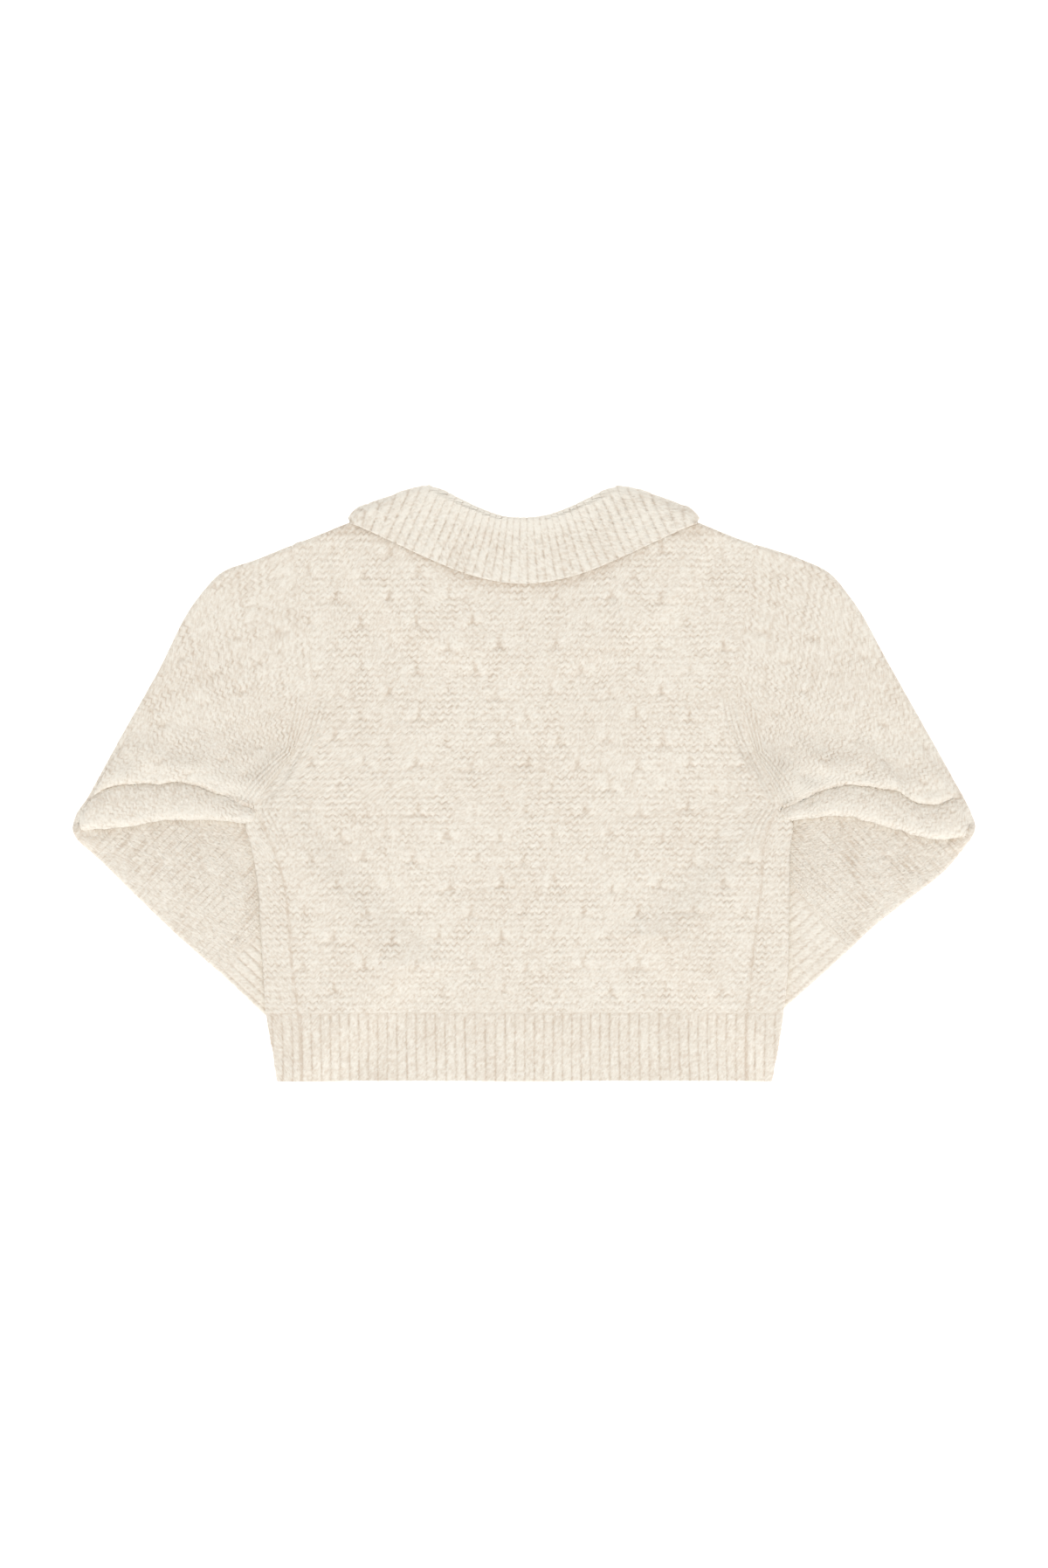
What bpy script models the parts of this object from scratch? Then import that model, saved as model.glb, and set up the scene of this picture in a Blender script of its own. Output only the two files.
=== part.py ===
"""A cropped, chunky-knit cardigan laid flat on its front, back up, its forearms tucked under its sides.

The garment is drawn as it is sewn: back, two fronts that wrap round the side folds, two sleeves,
ribbed cuffs, hem and collar, two button bands and five buttons. Every panel is a sheet: a grid whose
points are placed by a function of the garment's sizes, then given the knit's thickness.

Frame: X across (the wearer's right is +X), Y from hem to neck, Z up from the table.
The tables and sizes are in millimetres. MM turns them into metres when a mesh is made.
"""

import math
from collections import namedtuple

import bmesh
import bpy
import numpy as np

for old in list(bpy.data.objects):
    bpy.data.objects.remove(old, do_unlink=True)

MM = 0.001

# Driving sizes
WALL = 2.6  # thickness of the knit
SEAM = 0.4  # gap between two sewn pieces
ARMPIT_GAP = 1.8  # more of it at the armpit, where four pieces meet,
ARMPIT_FALL = 40.0  # and none this far from it
LIP = 1.0  # the neck edges stand this far past the neckline, in place of the shoulder's roll
LAYER = 5.5  # from the middle of the lower layer of a flattened tube to that of its upper layer
ARM_LIFT = 8.4  # how far a tucked forearm or cuff lifts the body
ARM_MARGIN = 24.0  # the lift is whole this far past the forearm, and
ARM_FALL = 50.0  # runs out over this much more
COLLAR_LIFT = 3.8  # how far the collar's front half lifts the fronts
COLLAR_FALL = 40.0
COLLAR_EARLY = 8.0  # the lift is whole this far outside the collar's free edge
COLLAR_OUT = (0.40, 0.917)  # direction in which the collar bulges as it turns to the front
ROLL = 1.8  # radius of the collar's roll line
STAND = 18.0  # height of the collar's stand
BUTTON_COUNT = 5
BUTTON_RADIUS = 10.0
BUTTON_HEIGHT = 2.2
BUTTON_EDGE = 0.6
BUTTON_SIDES = 16
BUTTON_TOP_Y = 96.0
BUTTON_PITCH = 84.0
BAND_HALF = 15.0  # half the width of a button band
BAND_FALL = 45.0  # the neighbouring layers come down from the bands over this much
BAND_EARLY = 3.0
BAND_STEPS = 14
OVER_BAND = 0.9  # share of the bands' thickness that still shows on the back
NECK_HALF = 102.5  # half the neck's width, at the shoulder seams
NECK_Y = 269.6  # height of the neck points
BACK_NECK_Y = 232.0
FRONT_NECK_Y = 190.0
TIP_X = 220.0  # shoulder tips
TIP_Y = 224.0
ARMPIT_Y = -20.0
HEM_Y = -282.5
RIB_Y = -217.0  # where the hem's rib starts
PLEAT = 22.0  # depth of the elbow's pleat
FRONT_START = 12.0  # width of the front's first columns where it has no side fold

CENTRE = (0.377, 0.317)  # middle of the laid-out garment, which is a little uneven
FLOOR = WALL / 2
ROUND = LAYER / 2
EDGE = ROUND + WALL / 2
TUBE_TOP = FLOOR + LAYER

SIGN = {"left": -1.0, "right": 1.0}
Side = namedtuple("Side", "y left_edge left_seam right_seam right_edge")
Arm = namedtuple("Arm", "y left right")
Spot = namedtuple("Spot", "x y")

# Body outline and side seams, from the hem up
SIDES = [
    Side(-282.5, -234.0, -211.0, 213.0, 236.5),
    Side(-244.0, -240.5, -212.0, 211.5, 243.0),
    Side(-217.0, -245.0, -214.0, 212.5, 247.0),
    Side(-177.0, -247.5, -219.5, 216.5, 251.0),
    Side(-137.0, -250.0, -222.5, 220.5, 252.0),
    Side(-97.0, -252.5, -227.0, 225.5, 252.5),
    Side(-58.0, -259.0, -239.0, 228.0, 253.5),
    Side(-38.0, -264.0, -248.0, 234.0, 255.5),
    Side(-20.0, -257.4, -255.6, 244.7, 246.5),
]

# Armhole seams, from the armpit up to the shoulder tip
ARMHOLES = [
    Arm(-20.0, -258.2, 247.3),
    Arm(5.0, -238.0, 234.0),
    Arm(28.0, -221.0, 222.0),
    Arm(55.0, -209.0, 210.5),
    Arm(85.0, -202.0, 204.0),
    Arm(125.0, -203.0, 206.0),
    Arm(175.0, -213.0, 213.0),
    Arm(224.0, -220.0, 220.0),
]

# Outer outline of each sleeve, from the shoulder tip to the elbow
UPPER_ARM = {
    "left": [
        Spot(-221.7, 227.5),
        Spot(-258.3, 212.9),
        Spot(-287.0, 202.3),
        Spot(-310.0, 177.9),
        Spot(-348.3, 107.9),
        Spot(-386.7, 39.6),
        Spot(-415.8, -13.8),
    ],
    "right": [
        Spot(221.7, 228.5),
        Spot(264.2, 214.6),
        Spot(290.0, 202.3),
        Spot(313.3, 175.4),
        Spot(345.0, 120.4),
        Spot(390.0, 40.0),
        Spot(417.5, -9.6),
    ],
}
ELBOW = {
    "left": [Spot(-415.8, -13.8), Spot(-427.0, -31.0), Spot(-429.2, -43.8), Spot(-424.5, -53.5)],
    "right": [Spot(417.5, -9.6), Spot(425.8, -26.3), Spot(430.0, -42.1), Spot(424.2, -54.5)],
}
FOREARM = {
    "left": [
        Spot(-424.5, -53.5),
        Spot(-406.7, -69.6),
        Spot(-365.0, -110.4),
        Spot(-325.0, -148.5),
        Spot(-288.3, -180.4),
    ],
    "right": [
        Spot(424.2, -54.5),
        Spot(402.5, -81.3),
        Spot(369.2, -107.9),
        Spot(335.0, -134.5),
        Spot(310.0, -157.9),
    ],
}

# Crease above the elbow's roll, and the roll's lower edge, each from the outline inwards
CREASE = {
    "left": [
        Spot(-415.8, -13.8),
        Spot(-398.0, -4.0),
        Spot(-358.0, 0.4),
        Spot(-318.0, -0.4),
        Spot(-259.6, -21.5),
    ],
    "right": [
        Spot(417.5, -9.6),
        Spot(388.0, -19.5),
        Spot(352.0, -6.0),
        Spot(300.0, -2.0),
        Spot(248.7, -21.5),
    ],
}
FOLD = {
    "left": [
        Spot(-427.0, -44.0),
        Spot(-386.7, -41.2),
        Spot(-343.0, -34.8),
        Spot(-310.0, -33.5),
        Spot(-265.2, -37.0),
    ],
    "right": [
        Spot(427.0, -48.0),
        Spot(396.0, -52.1),
        Spot(345.0, -40.0),
        Spot(300.0, -29.5),
        Spot(256.8, -35.0),
    ],
}

# Inner edge of each forearm, hidden under the body, down to the cuff
TUCKED = {
    "left": [Spot(-265.2, -41.0), Spot(-258.0, -52.0), Spot(-244.0, -80.0), Spot(-226.0, -113.6)],
    "right": [Spot(256.8, -39.0), Spot(253.5, -50.0), Spot(251.5, -70.0), Spot(248.7, -89.6)],
}
UNDERARM = {"left": Spot(-253.0, -38.0), "right": Spot(244.0, -38.0)}
CUFF_LENGTH = 88.0
CUFF_COLUMNS = 4  # across one layer of a cuff
CUFF_ROWS = 2
SEAM_TURN = 2.2  # how far a cuff's seam edges turn in to meet

# Collar, half of it: roll line and free edge at the back, side roll, roll line and free edge in front
ROLL_BACK = [
    Spot(88.0, 276.3),
    Spot(79.0, 274.4),
    Spot(66.5, 268.4),
    Spot(43.5, 258.4),
    Spot(20.0, 252.2),
    Spot(0.0, 250.3),
]
FREE_BACK = [
    Spot(158.5, 246.5),
    Spot(146.0, 244.0),
    Spot(127.5, 234.0),
    Spot(104.0, 222.0),
    Spot(80.0, 210.0),
    Spot(48.0, 197.0),
    Spot(0.0, 190.4),
]
SIDE_ROLL = [
    Spot(88.0, 276.3),
    Spot(105.0, 274.4),
    Spot(122.4, 268.7),
    Spot(146.0, 259.8),
    Spot(158.5, 246.5),
]
FREE_FRONT = [
    Spot(158.5, 246.5),
    Spot(149.0, 215.0),
    Spot(118.0, 178.0),
    Spot(78.0, 152.0),
    Spot(12.0, 133.0),
]
COLLAR_REACH = [
    Spot(0.0, 133.0),
    Spot(78.0, 147.0),
    Spot(125.0, 174.0),
    Spot(158.0, 212.0),
    Spot(217.0, 330.0),
]

KNIT_COLOUR = (0.84, 0.77, 0.68, 1.0)
RIB_COLOUR = (0.83, 0.76, 0.67, 1.0)
BUTTON_COLOUR = (0.74, 0.65, 0.53, 1.0)


def eased(t):
    """0 to 1 with a soft start and a soft stop."""
    t = np.clip(t, 0.0, 1.0)
    return t * t * (3.0 - 2.0 * t)


def blended(knots, values, t):
    """A smooth curve through the values, one for each knot, read at t."""
    slopes = np.gradient(values, knots, axis=0)
    t = np.clip(t, knots[0], knots[-1])
    i = np.clip(np.searchsorted(knots, t, side="right") - 1, 0, len(knots) - 2)
    span = (knots[i + 1] - knots[i])[:, None]
    f = (t - knots[i])[:, None] / span
    start = (1 + 2 * f) * (1 - f) ** 2 * values[i] + f * (1 - f) ** 2 * span * slopes[i]
    end = f * f * (3 - 2 * f) * values[i + 1] - f * f * (1 - f) * span * slopes[i + 1]
    return start + end


def along(spots, t):
    """The point at fraction t of a smooth line through the spots."""
    spots = np.array(spots, float)
    steps = np.linalg.norm(np.diff(spots, axis=0), axis=1)
    knots = np.concatenate([[0.0], np.cumsum(steps)]) / steps.sum()
    return blended(knots, spots, np.atleast_1d(np.asarray(t, float)))


def column(rows, name, y):
    """One column of a table, read at heights y."""
    knots = np.array([row.y for row in rows])
    values = np.array([[getattr(row, name)] for row in rows])
    return blended(knots, values, np.atleast_1d(np.asarray(y, float)))[:, 0]


def patch(start, end, near, far, s, t):
    """A point of the sheet between four curves: start and end run along t, near and far along s."""
    s, t = s[:, None], t[:, None]
    corners = (1 - s) * ((1 - t) * start(0) + t * start(1)) + s * ((1 - t) * end(0) + t * end(1))
    return (1 - s) * start(t) + s * end(t) + (1 - t) * near(s) + t * far(s) - corners


def line(spots):
    """A curve for patch, through the spots."""
    return lambda t: along(spots, np.ravel(t))


# Heights of the layers


def past(x, y, corners):
    """How far a point lies outside a convex outline, its corners anticlockwise."""
    worst = np.full(np.shape(x), -1e9)
    for a, b in zip(corners, corners[1:] + corners[:1]):
        length = math.hypot(b[0] - a[0], b[1] - a[1])
        out = ((b[1] - a[1]) * (x - a[0]) - (b[0] - a[0]) * (y - a[1])) / length
        worst = np.maximum(worst, out)
    return worst


def tucked_outlines(side):
    """The forearm and the cuff of one side, as convex outlines."""
    elbow, wrist = FOREARM[side][0], FOREARM[side][-1]
    armpit, inner = TUCKED[side][0], TUCKED[side][-1]
    far = cuff_run(side) * CUFF_LENGTH
    outer_end, inner_end = tuple(wrist + far), tuple(inner + far)
    outlines = [[elbow, wrist, inner, armpit], [wrist, outer_end, inner_end, inner]]
    return outlines if side == "left" else [outline[::-1] for outline in outlines]


def under(x, y):
    """How far the body's lower layer is lifted by what it lies on."""
    flat = np.ones(np.shape(x))
    for side in SIGN:
        for corners in tucked_outlines(side):
            flat = flat * (1 - eased(1 - (past(x, y, corners) - ARM_MARGIN) / ARM_FALL))
    reach_x, reach_y = np.array(COLLAR_REACH).T
    reach = np.interp(np.abs(x), reach_x, reach_y)
    collar = eased(1 - (reach - COLLAR_EARLY - y) / COLLAR_FALL)
    button = band_bulge(x) * eased((COLLAR_REACH[0].y - y) / BAND_FALL)
    lift = ARM_LIFT * (1 - flat) + COLLAR_LIFT * collar
    return lift + (BUTTON_HEIGHT + SEAM) * button


def band_bulge(x):
    """1 where the two bands lie on each other, then less and less to its sides."""
    return eased(1 - (np.abs(x) - BAND_HALF - BAND_EARLY) / BAND_FALL)


def front_z(x, y, side):
    """Middle of a front's layer. The left front's band lies over the right front's."""
    overlap = (WALL + SEAM) * band_bulge(x) if side == "left" else 0.0
    return FLOOR + under(x, y) + overlap


def back_z(x, y):
    return FLOOR + LAYER + under(x, y) + OVER_BAND * band_bulge(x)


# Body


def top_y(x):
    """The shoulder line, and the back's neck between the neck points."""
    x = np.abs(x)
    neck = BACK_NECK_Y + (NECK_Y - BACK_NECK_Y) * (np.minimum(x, NECK_HALF) / NECK_HALF) ** 2.2
    slope = (NECK_Y - TIP_Y) / (TIP_X - NECK_HALF)
    return np.where(x < NECK_HALF, neck, NECK_Y - slope * (x - NECK_HALF))


def front_neck_y(x):
    """The front's neckline: a quarter ellipse from the neck point to the band."""
    f = np.clip((np.abs(x) - BAND_HALF) / (NECK_HALF - BAND_HALF), 0, 1)
    return FRONT_NECK_Y + (NECK_Y - FRONT_NECK_Y) * (1 - np.sqrt(1 - f * f))


ROW_Y = [row.y for row in SIDES[2:]] + [row.y for row in ARMHOLES[1:]]
CURL_STEPS = 2  # rows of the shoulder's rolled edge, past the last of ROW_Y
HEM_ROWS = [HEM_Y, -250.0, RIB_Y]
SHOULDER_X = [TIP_X, TIP_X - FRONT_START, 185.0, 160.0, 132.0]
NECK_STEPS = 10
FRONT_NECK_STEPS = 6


def shoulder_curl(x):
    """Share of a quarter turn by which the shoulder's edge rolls over: none at its two ends."""
    x = np.abs(x)
    return eased((x - NECK_HALF) / 12.0) * eased((TIP_X - x) / FRONT_START)


def back_columns():
    """Places of the back's columns along its upper edge."""
    shoulder = np.array(SHOULDER_X)
    neck = np.linspace(-NECK_HALF, NECK_HALF, NECK_STEPS + 1)
    return np.concatenate([-shoulder, neck, shoulder[::-1]])


def front_columns():
    """Places of a front's columns along its upper edge, from the shoulder tip to the band."""
    f = np.sin(np.linspace(math.pi / 2, 0, FRONT_NECK_STEPS + 1))
    return np.concatenate([SHOULDER_X, BAND_HALF + f * (NECK_HALF - BAND_HALF)])


def side_seam(side, y):
    """The line where back and front meet: the side seam, then the armhole."""
    rows = [Arm(row.y, row.left_seam, row.right_seam) for row in SIDES] + ARMHOLES[1:]
    return column(rows, side, y)


def rolled_edge(x_top, v, last):
    """How far the shoulder's last rows run out and turn: none in the panel, a lip at the neck."""
    share = np.clip((v - last) / CURL_STEPS, 0, 1)
    turn = shoulder_curl(x_top) * math.pi / 2 * share
    out = (ROUND - SEAM) * np.sin(turn) + LIP * share * (1 - shoulder_curl(x_top))
    return out, (ROUND - SEAM * 2) * (1 - np.cos(turn))


def back_point(u, v):
    """u counts the columns, v the rows: 0 at the rib to the last at the shoulder."""
    columns = back_columns()
    rows = np.array(ROW_Y)
    x_top = np.interp(u, np.arange(len(columns)), columns)
    share = (np.interp(v, np.arange(len(rows)), rows) - RIB_Y) / (TIP_Y - RIB_Y)
    y = RIB_Y + SEAM / 2 + share * (top_y(x_top) - RIB_Y - SEAM / 2)
    across = (x_top + TIP_X) / (2 * TIP_X)
    gap = SEAM / 2 + ARMPIT_GAP * eased(1 - np.abs(y - ARMPIT_Y) / ARMPIT_FALL)
    left = side_seam("left", y) + gap
    right = side_seam("right", y) - gap
    x = left + (right - left) * across
    out, drop = rolled_edge(x_top, v, len(rows) - 1)
    return x, y + out, back_z(x, y) - drop


# A front's columns: two on the back of the garment, the side fold, then distances from the fold
WRAP_STEPS = 2
FOLD_STEPS = 4


def fold_point(side, x_edge, s, y):
    """A point of the flattened body, s along its ring: 0 at the fold's edge, + below, - above."""
    sign = SIGN[side]
    quarter = ROUND * math.pi / 2
    turn = np.clip(s / ROUND, -math.pi / 2, math.pi / 2)
    inwards = ROUND - ROUND * np.cos(turn) + np.maximum(np.abs(s) - quarter, 0)
    x = x_edge - sign * inwards
    low, high = front_z(x, y, side), back_z(x, y)
    z = (low + high) / 2 - (high - low) / 2 * np.sin(turn)
    return x, y, z


def front_edge(side, y):
    """The fold's middle line: the body's outline less half a wall, and above the armpit the armhole."""
    sign = SIGN[side]
    below = column(SIDES, side + "_edge", np.minimum(y, ARMPIT_Y)) - sign * WALL / 2
    above = column(ARMHOLES, side, np.maximum(y, ARMPIT_Y)) - sign * (WALL + SEAM) / 2
    return np.where(y > ARMPIT_Y, above, below)


def front_start(side, y, edge):
    """Where the front begins on its ring: at the side seam above, past the armpit on the lower side."""
    quarter = ROUND * math.pi / 2
    seam = side_seam(side, y)
    width = np.abs(edge - seam)
    top = -(width - ROUND + quarter) + SEAM / 2
    bottom = quarter - ROUND - WALL / 2
    return np.where(y > ARMPIT_Y + 1.0, bottom, top)


def front_point(side, rows, u, v, neck):
    """A point of one front, or of its hem when neck is off."""
    sign = SIGN[side]
    count = np.arange(len(rows))
    base = np.interp(v, count, rows)
    first = WRAP_STEPS + FOLD_STEPS
    columns = front_columns()
    x_top = np.interp(u, np.append(0, first + np.arange(len(columns) - 1)), columns)
    share = (columns[1] - x_top) / (columns[1] - BAND_HALF)
    if neck:
        top = np.where(x_top < NECK_HALF, front_neck_y(x_top), top_y(x_top))
        part = (base - RIB_Y) / (TIP_Y - RIB_Y)
        y = RIB_Y + SEAM / 2 + part * (top - RIB_Y - SEAM / 2)
    else:
        y = base - SEAM / 2 * (v / count[-1])
    edge = front_edge(side, y)
    begin = front_start(side, y, edge)
    quarter = ROUND * math.pi / 2
    fold_end = np.where(begin > 0, begin + FRONT_START, quarter)
    short_wrap = begin + WRAP_STEPS / (WRAP_STEPS + FOLD_STEPS) * (fold_end - begin)
    fold_begin = np.where(begin < -quarter, -quarter, short_wrap)
    centre = np.abs(edge) - ROUND - BAND_HALF - SEAM / 2 + quarter
    stops = np.stack([begin, fold_begin, fold_end, centre], axis=1)
    places = [0, WRAP_STEPS, first]
    s = np.where(
        u <= WRAP_STEPS,
        stops[:, 0] + (stops[:, 1] - stops[:, 0]) * u / places[1],
        stops[:, 1] + (stops[:, 2] - stops[:, 1]) * (u - places[1]) / FOLD_STEPS,
    )
    s = np.where(u > first, stops[:, 2] + (stops[:, 3] - stops[:, 2]) * share, s)
    x, y, z = fold_point(side, edge, s, y)
    if not neck:
        return x, y, z
    out, rise = rolled_edge(x_top, v, len(rows) - 1)
    return x, y + out, z + rise


def hem_back_point(u, v):
    columns = back_columns()
    y = np.interp(v, np.arange(len(HEM_ROWS)), HEM_ROWS) - SEAM / 2 * v / (len(HEM_ROWS) - 1)
    across = (np.interp(u, np.arange(len(columns)), columns) + TIP_X) / (2 * TIP_X)
    left = side_seam("left", y) + SEAM / 2
    right = side_seam("right", y) - SEAM / 2
    x = left + (right - left) * across
    return x, y, back_z(x, y)


def band_point(side, u, v, top):
    """A button band: a plain strip at the centre, from the hem's edge up to the neckline."""
    x = np.interp(u, [0, 3], [-BAND_HALF, BAND_HALF])
    y = HEM_Y + v / BAND_STEPS * (top - HEM_Y)
    return x, y, front_z(x, y, side)


# Sleeves: a station table for the elbow's pleat, by distance up from the roll's edge and height

Pleat = namedtuple("Pleat", "name up open_up z")
PLEATS = [
    Pleat("roll", 12.0, 12.0, 15.2),
    Pleat("turn_over", 3.3, 5.0, 14.6),
    Pleat("edge", 1.3, 1.3, 12.65),
    Pleat("turn_under", 3.3, -0.5, 10.7),
    Pleat("return", PLEAT, -2.0, 10.7),
    Pleat("back_turn", PLEAT + 2.0, -3.5, 8.75),
    Pleat("forearm", PLEAT, -5.0, 6.8),
]
CREASE_Z = 13.8
UPPER_STEPS = 5
FOREARM_STEPS = 5
UPPER_STOPS = [0.0, 0.12, 0.22, 0.32, 0.62, 1.0]
SEAM_Y = [28.0, 19.0, 12.0, 5.0, -6.0, -20.0]  # height of the armhole at each of those stops
SHARES = [0.0, 0.10, 0.20, 0.35, 0.55, 0.78, 0.975]
SHARE_Y = [224.0, 199.5, 175.0, 125.0, 85.0, 55.0, 31.1]  # height of the armhole at each share
SHEET_STEPS = len(SHARES) - 1
FOREARM_PUFF = 2.5
UPPER_PUFF = 2.0


def inset(spots, side):
    """A line of the sleeve's outline moved in to the middle of its rounded edge."""
    spots = np.array(spots, float)
    tangent = np.gradient(spots, axis=0)
    tangent /= np.linalg.norm(tangent, axis=1)[:, None]
    inwards = np.stack([-tangent[:, 1], tangent[:, 0]], axis=1) * -SIGN[side]
    return spots + EDGE * inwards


def outer_line(side):
    """The middle of the sleeve's outer rounded edge, in its three stretches."""
    whole = UPPER_ARM[side] + ELBOW[side][1:-1] + FOREARM[side]
    moved = inset(whole, side)
    upper, elbow = len(UPPER_ARM[side]), len(UPPER_ARM[side]) + len(ELBOW[side]) - 1
    return moved[:upper], moved[upper - 1 : elbow], moved[elbow - 1 :]


def armhole(side, y):
    """The sleeve's edge at the armhole seam, read at heights y."""
    rows = ARMHOLES
    x = np.interp(y, [row.y for row in rows], [getattr(row, side) for row in rows])
    return np.stack([x + SIGN[side] * SEAM * 2, y], axis=1)


def armhole_top(side):
    """The upper part of the armhole, along a sleeve's width."""
    return lambda t: armhole(side, np.interp(np.ravel(t), SHARES + [1.0], SHARE_Y + [SEAM_Y[0]]))


def armhole_low(side):
    """The lower part of the armhole, along the upper arm's length, down to the armpit."""
    return lambda s: armhole(side, np.interp(np.ravel(s), UPPER_STOPS, SEAM_Y))


def arm_rise(side, s):
    """How far the armhole is lifted beside the upper arm at its fraction s."""
    seam = armhole_low(side)(s)
    return under(seam[:, 0], seam[:, 1])


def lower_layer(side, s_upper, elbow_share, s_fore, t):
    """The layer on the table: upper arm, elbow and forearm in one flat stretch."""
    upper, elbow, fore = outer_line(side)
    armpit = armhole(side, np.array([ARMPIT_Y]))[0]
    drop = np.array([armpit, UNDERARM[side]])
    rest = np.array([upper[-1], armpit])
    wrist = np.array([fore[-1], TUCKED[side][-1]])
    tucked = [UNDERARM[side]] + TUCKED[side][1:]
    arm = patch(armhole_top(side), line(rest), line(upper), armhole_low(side), s_upper, t)
    across = along(elbow, elbow_share) * (1 - t[:, None]) + along(drop, elbow_share) * t[:, None]
    start = np.array([fore[0], UNDERARM[side]])
    forearm = patch(line(start), line(wrist), line(fore), line(tucked), s_fore, t)
    at_seam = eased((t - SHARES[-2]) / (1 - SHARES[-2]))
    z = FLOOR + arm_rise(side, s_upper) * at_seam * (1 - eased(elbow_share / 0.7))
    return arm, across, forearm, z


def upper_layer(side, s_upper, elbow_share, s_fore, t):
    """The layer on top: upper arm down to the crease, the pleat at the elbow, then the forearm."""
    upper, elbow, fore = outer_line(side)
    crease = np.array(CREASE[side], float)
    crease[0] = upper[-1]
    fold = np.array(FOLD[side], float)
    arm = patch(armhole_top(side), line(crease), line(upper), armhole_low(side), s_upper, t)
    high, shut = eased(t / 0.13), eased((t - 0.10) / 0.22)
    rows = [Pleat("crease", 0, 0, CREASE_Z)] + PLEATS
    numbers, index = np.arange(len(rows)), elbow_share * len(PLEATS)
    up_shut = np.interp(index, numbers, [row.up for row in rows])
    up_open = np.interp(index, numbers, [row.open_up for row in rows])
    up = up_open + (up_shut - up_open) * shut
    none = np.zeros(len(t))
    hold = np.clip(1 - t / 0.2, 0, 1)[:, None]
    at_edge = along(fold, [0.0])[0] + np.stack([none, up_open], axis=1)
    across = along(fold, t) + np.stack([none, up], axis=1)
    across = across + (along(elbow, elbow_share) - at_edge) * hold
    start = fold + [0.0, -4.0]
    start[0], start[-1] = fore[0], TUCKED[side][0]
    wrist = np.array([fore[-1], TUCKED[side][-1]])
    forearm = patch(line(start), line(wrist), line(fore), line(TUCKED[side]), s_fore, t)
    at_seam = eased((t - SHARES[-2]) / (1 - SHARES[-2]))
    crease_rise = (CREASE_Z - TUBE_TOP) * high + (ARM_LIFT - CREASE_Z + TUBE_TOP) * at_seam
    puff = UPPER_PUFF * np.sin(math.pi * t) * np.sin(math.pi * s_upper)
    arm_z = TUBE_TOP + arm_rise(side, s_upper) * at_seam * (1 - eased(s_upper))
    arm_z = arm_z + crease_rise * eased(s_upper) + puff
    pleat_z = np.interp(index, numbers, [row.z for row in rows])
    elbow_z = TUBE_TOP + (pleat_z - TUBE_TOP) * high
    swell = np.sin(math.pi * np.clip(t * 1.25, 0, 1)) * np.sin(math.pi * s_fore)
    z = np.where(elbow_share > 0, elbow_z, arm_z)
    return arm, across, forearm, np.where(s_fore > 0, TUBE_TOP + FOREARM_PUFF * swell, z)


def sleeve_layer(side, station, t, layer):
    """A point of one of a sleeve's two layers. Stations run from the armhole to the cuff."""
    last_pleat = UPPER_STEPS + len(PLEATS)
    s_upper = np.interp(station, np.arange(UPPER_STEPS + 1), UPPER_STOPS)
    elbow_share = np.clip((station - UPPER_STEPS) / len(PLEATS), 0, 1)
    s_fore = np.clip((station - last_pleat) / FOREARM_STEPS, 0, 1)
    arm, across, forearm, z = layer(side, s_upper, elbow_share, s_fore, t)
    plan = np.where((station > UPPER_STEPS)[:, None], across, arm)
    plan = np.where((station > last_pleat)[:, None], forearm, plan)
    return np.column_stack([plan, z])


def sleeve_point(side, station, u):
    """u counts the columns round: seam edge, lower layer, outer fold, upper layer, seam edge."""
    fold_start = SHEET_STEPS + 1
    fold_end = fold_start + FOLD_STEPS
    numbers = np.arange(SHEET_STEPS + 2)
    shares = SHARES + [1.0]
    t_low = np.interp(fold_start - u, numbers, shares)
    t_high = np.interp(u - fold_end, numbers, shares)
    low = sleeve_layer(side, station, t_low, lower_layer)
    high = sleeve_layer(side, station, t_high, upper_layer)
    point = np.where((u >= fold_end)[:, None], high, low)
    turn = np.clip((u - fold_start) / FOLD_STEPS, 0, 1) * math.pi
    folded = sleeve_fold(side, station, turn, low[:, 2], high[:, 2])
    on_fold = (u > fold_start) & (u < fold_end)
    point = np.where(on_fold[:, None], folded, point)
    closing = eased((station - UPPER_STEPS - len(PLEATS) - 0.5) / 1.5)
    middle = FLOOR + ROUND + np.where(u < 1, -SEAM, SEAM) / 2
    at_seam = (u < 1) | (u > fold_end + SHEET_STEPS)
    point[:, 2] = np.where(at_seam, point[:, 2] + (middle - point[:, 2]) * closing, point[:, 2])
    return point


def sleeve_fold(side, station, turn, low_z, high_z):
    """A sleeve's rounded outer edge, from the lower layer at no turn to the upper at half a turn."""
    near = 0.02  # part of a station, to find the direction of the edge
    none = np.zeros(len(station))
    ahead = sleeve_layer(side, station + near, none, lower_layer)
    behind = sleeve_layer(side, np.maximum(station - near, 0), none, lower_layer)
    run = (ahead - behind)[:, :2]
    run /= np.maximum(np.linalg.norm(run, axis=1), 1e-9)[:, None]
    out = np.stack([run[:, 1], -run[:, 0]], axis=1) * -SIGN[side]
    middle = (high_z + low_z) / 2
    plan = sleeve_layer(side, station, none, lower_layer)[:, :2]
    plan = plan + ROUND * np.sin(turn)[:, None] * out
    return np.column_stack([plan, middle - (high_z - low_z) / 2 * np.cos(turn)])


def cuff_run(side):
    """The direction of the cuff, square to its seam with the sleeve."""
    seam = np.array(TUCKED[side][-1]) - np.array(FOREARM[side][-1])
    return np.array([seam[1], -seam[0]]) * -SIGN[side] / np.linalg.norm(seam)


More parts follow.
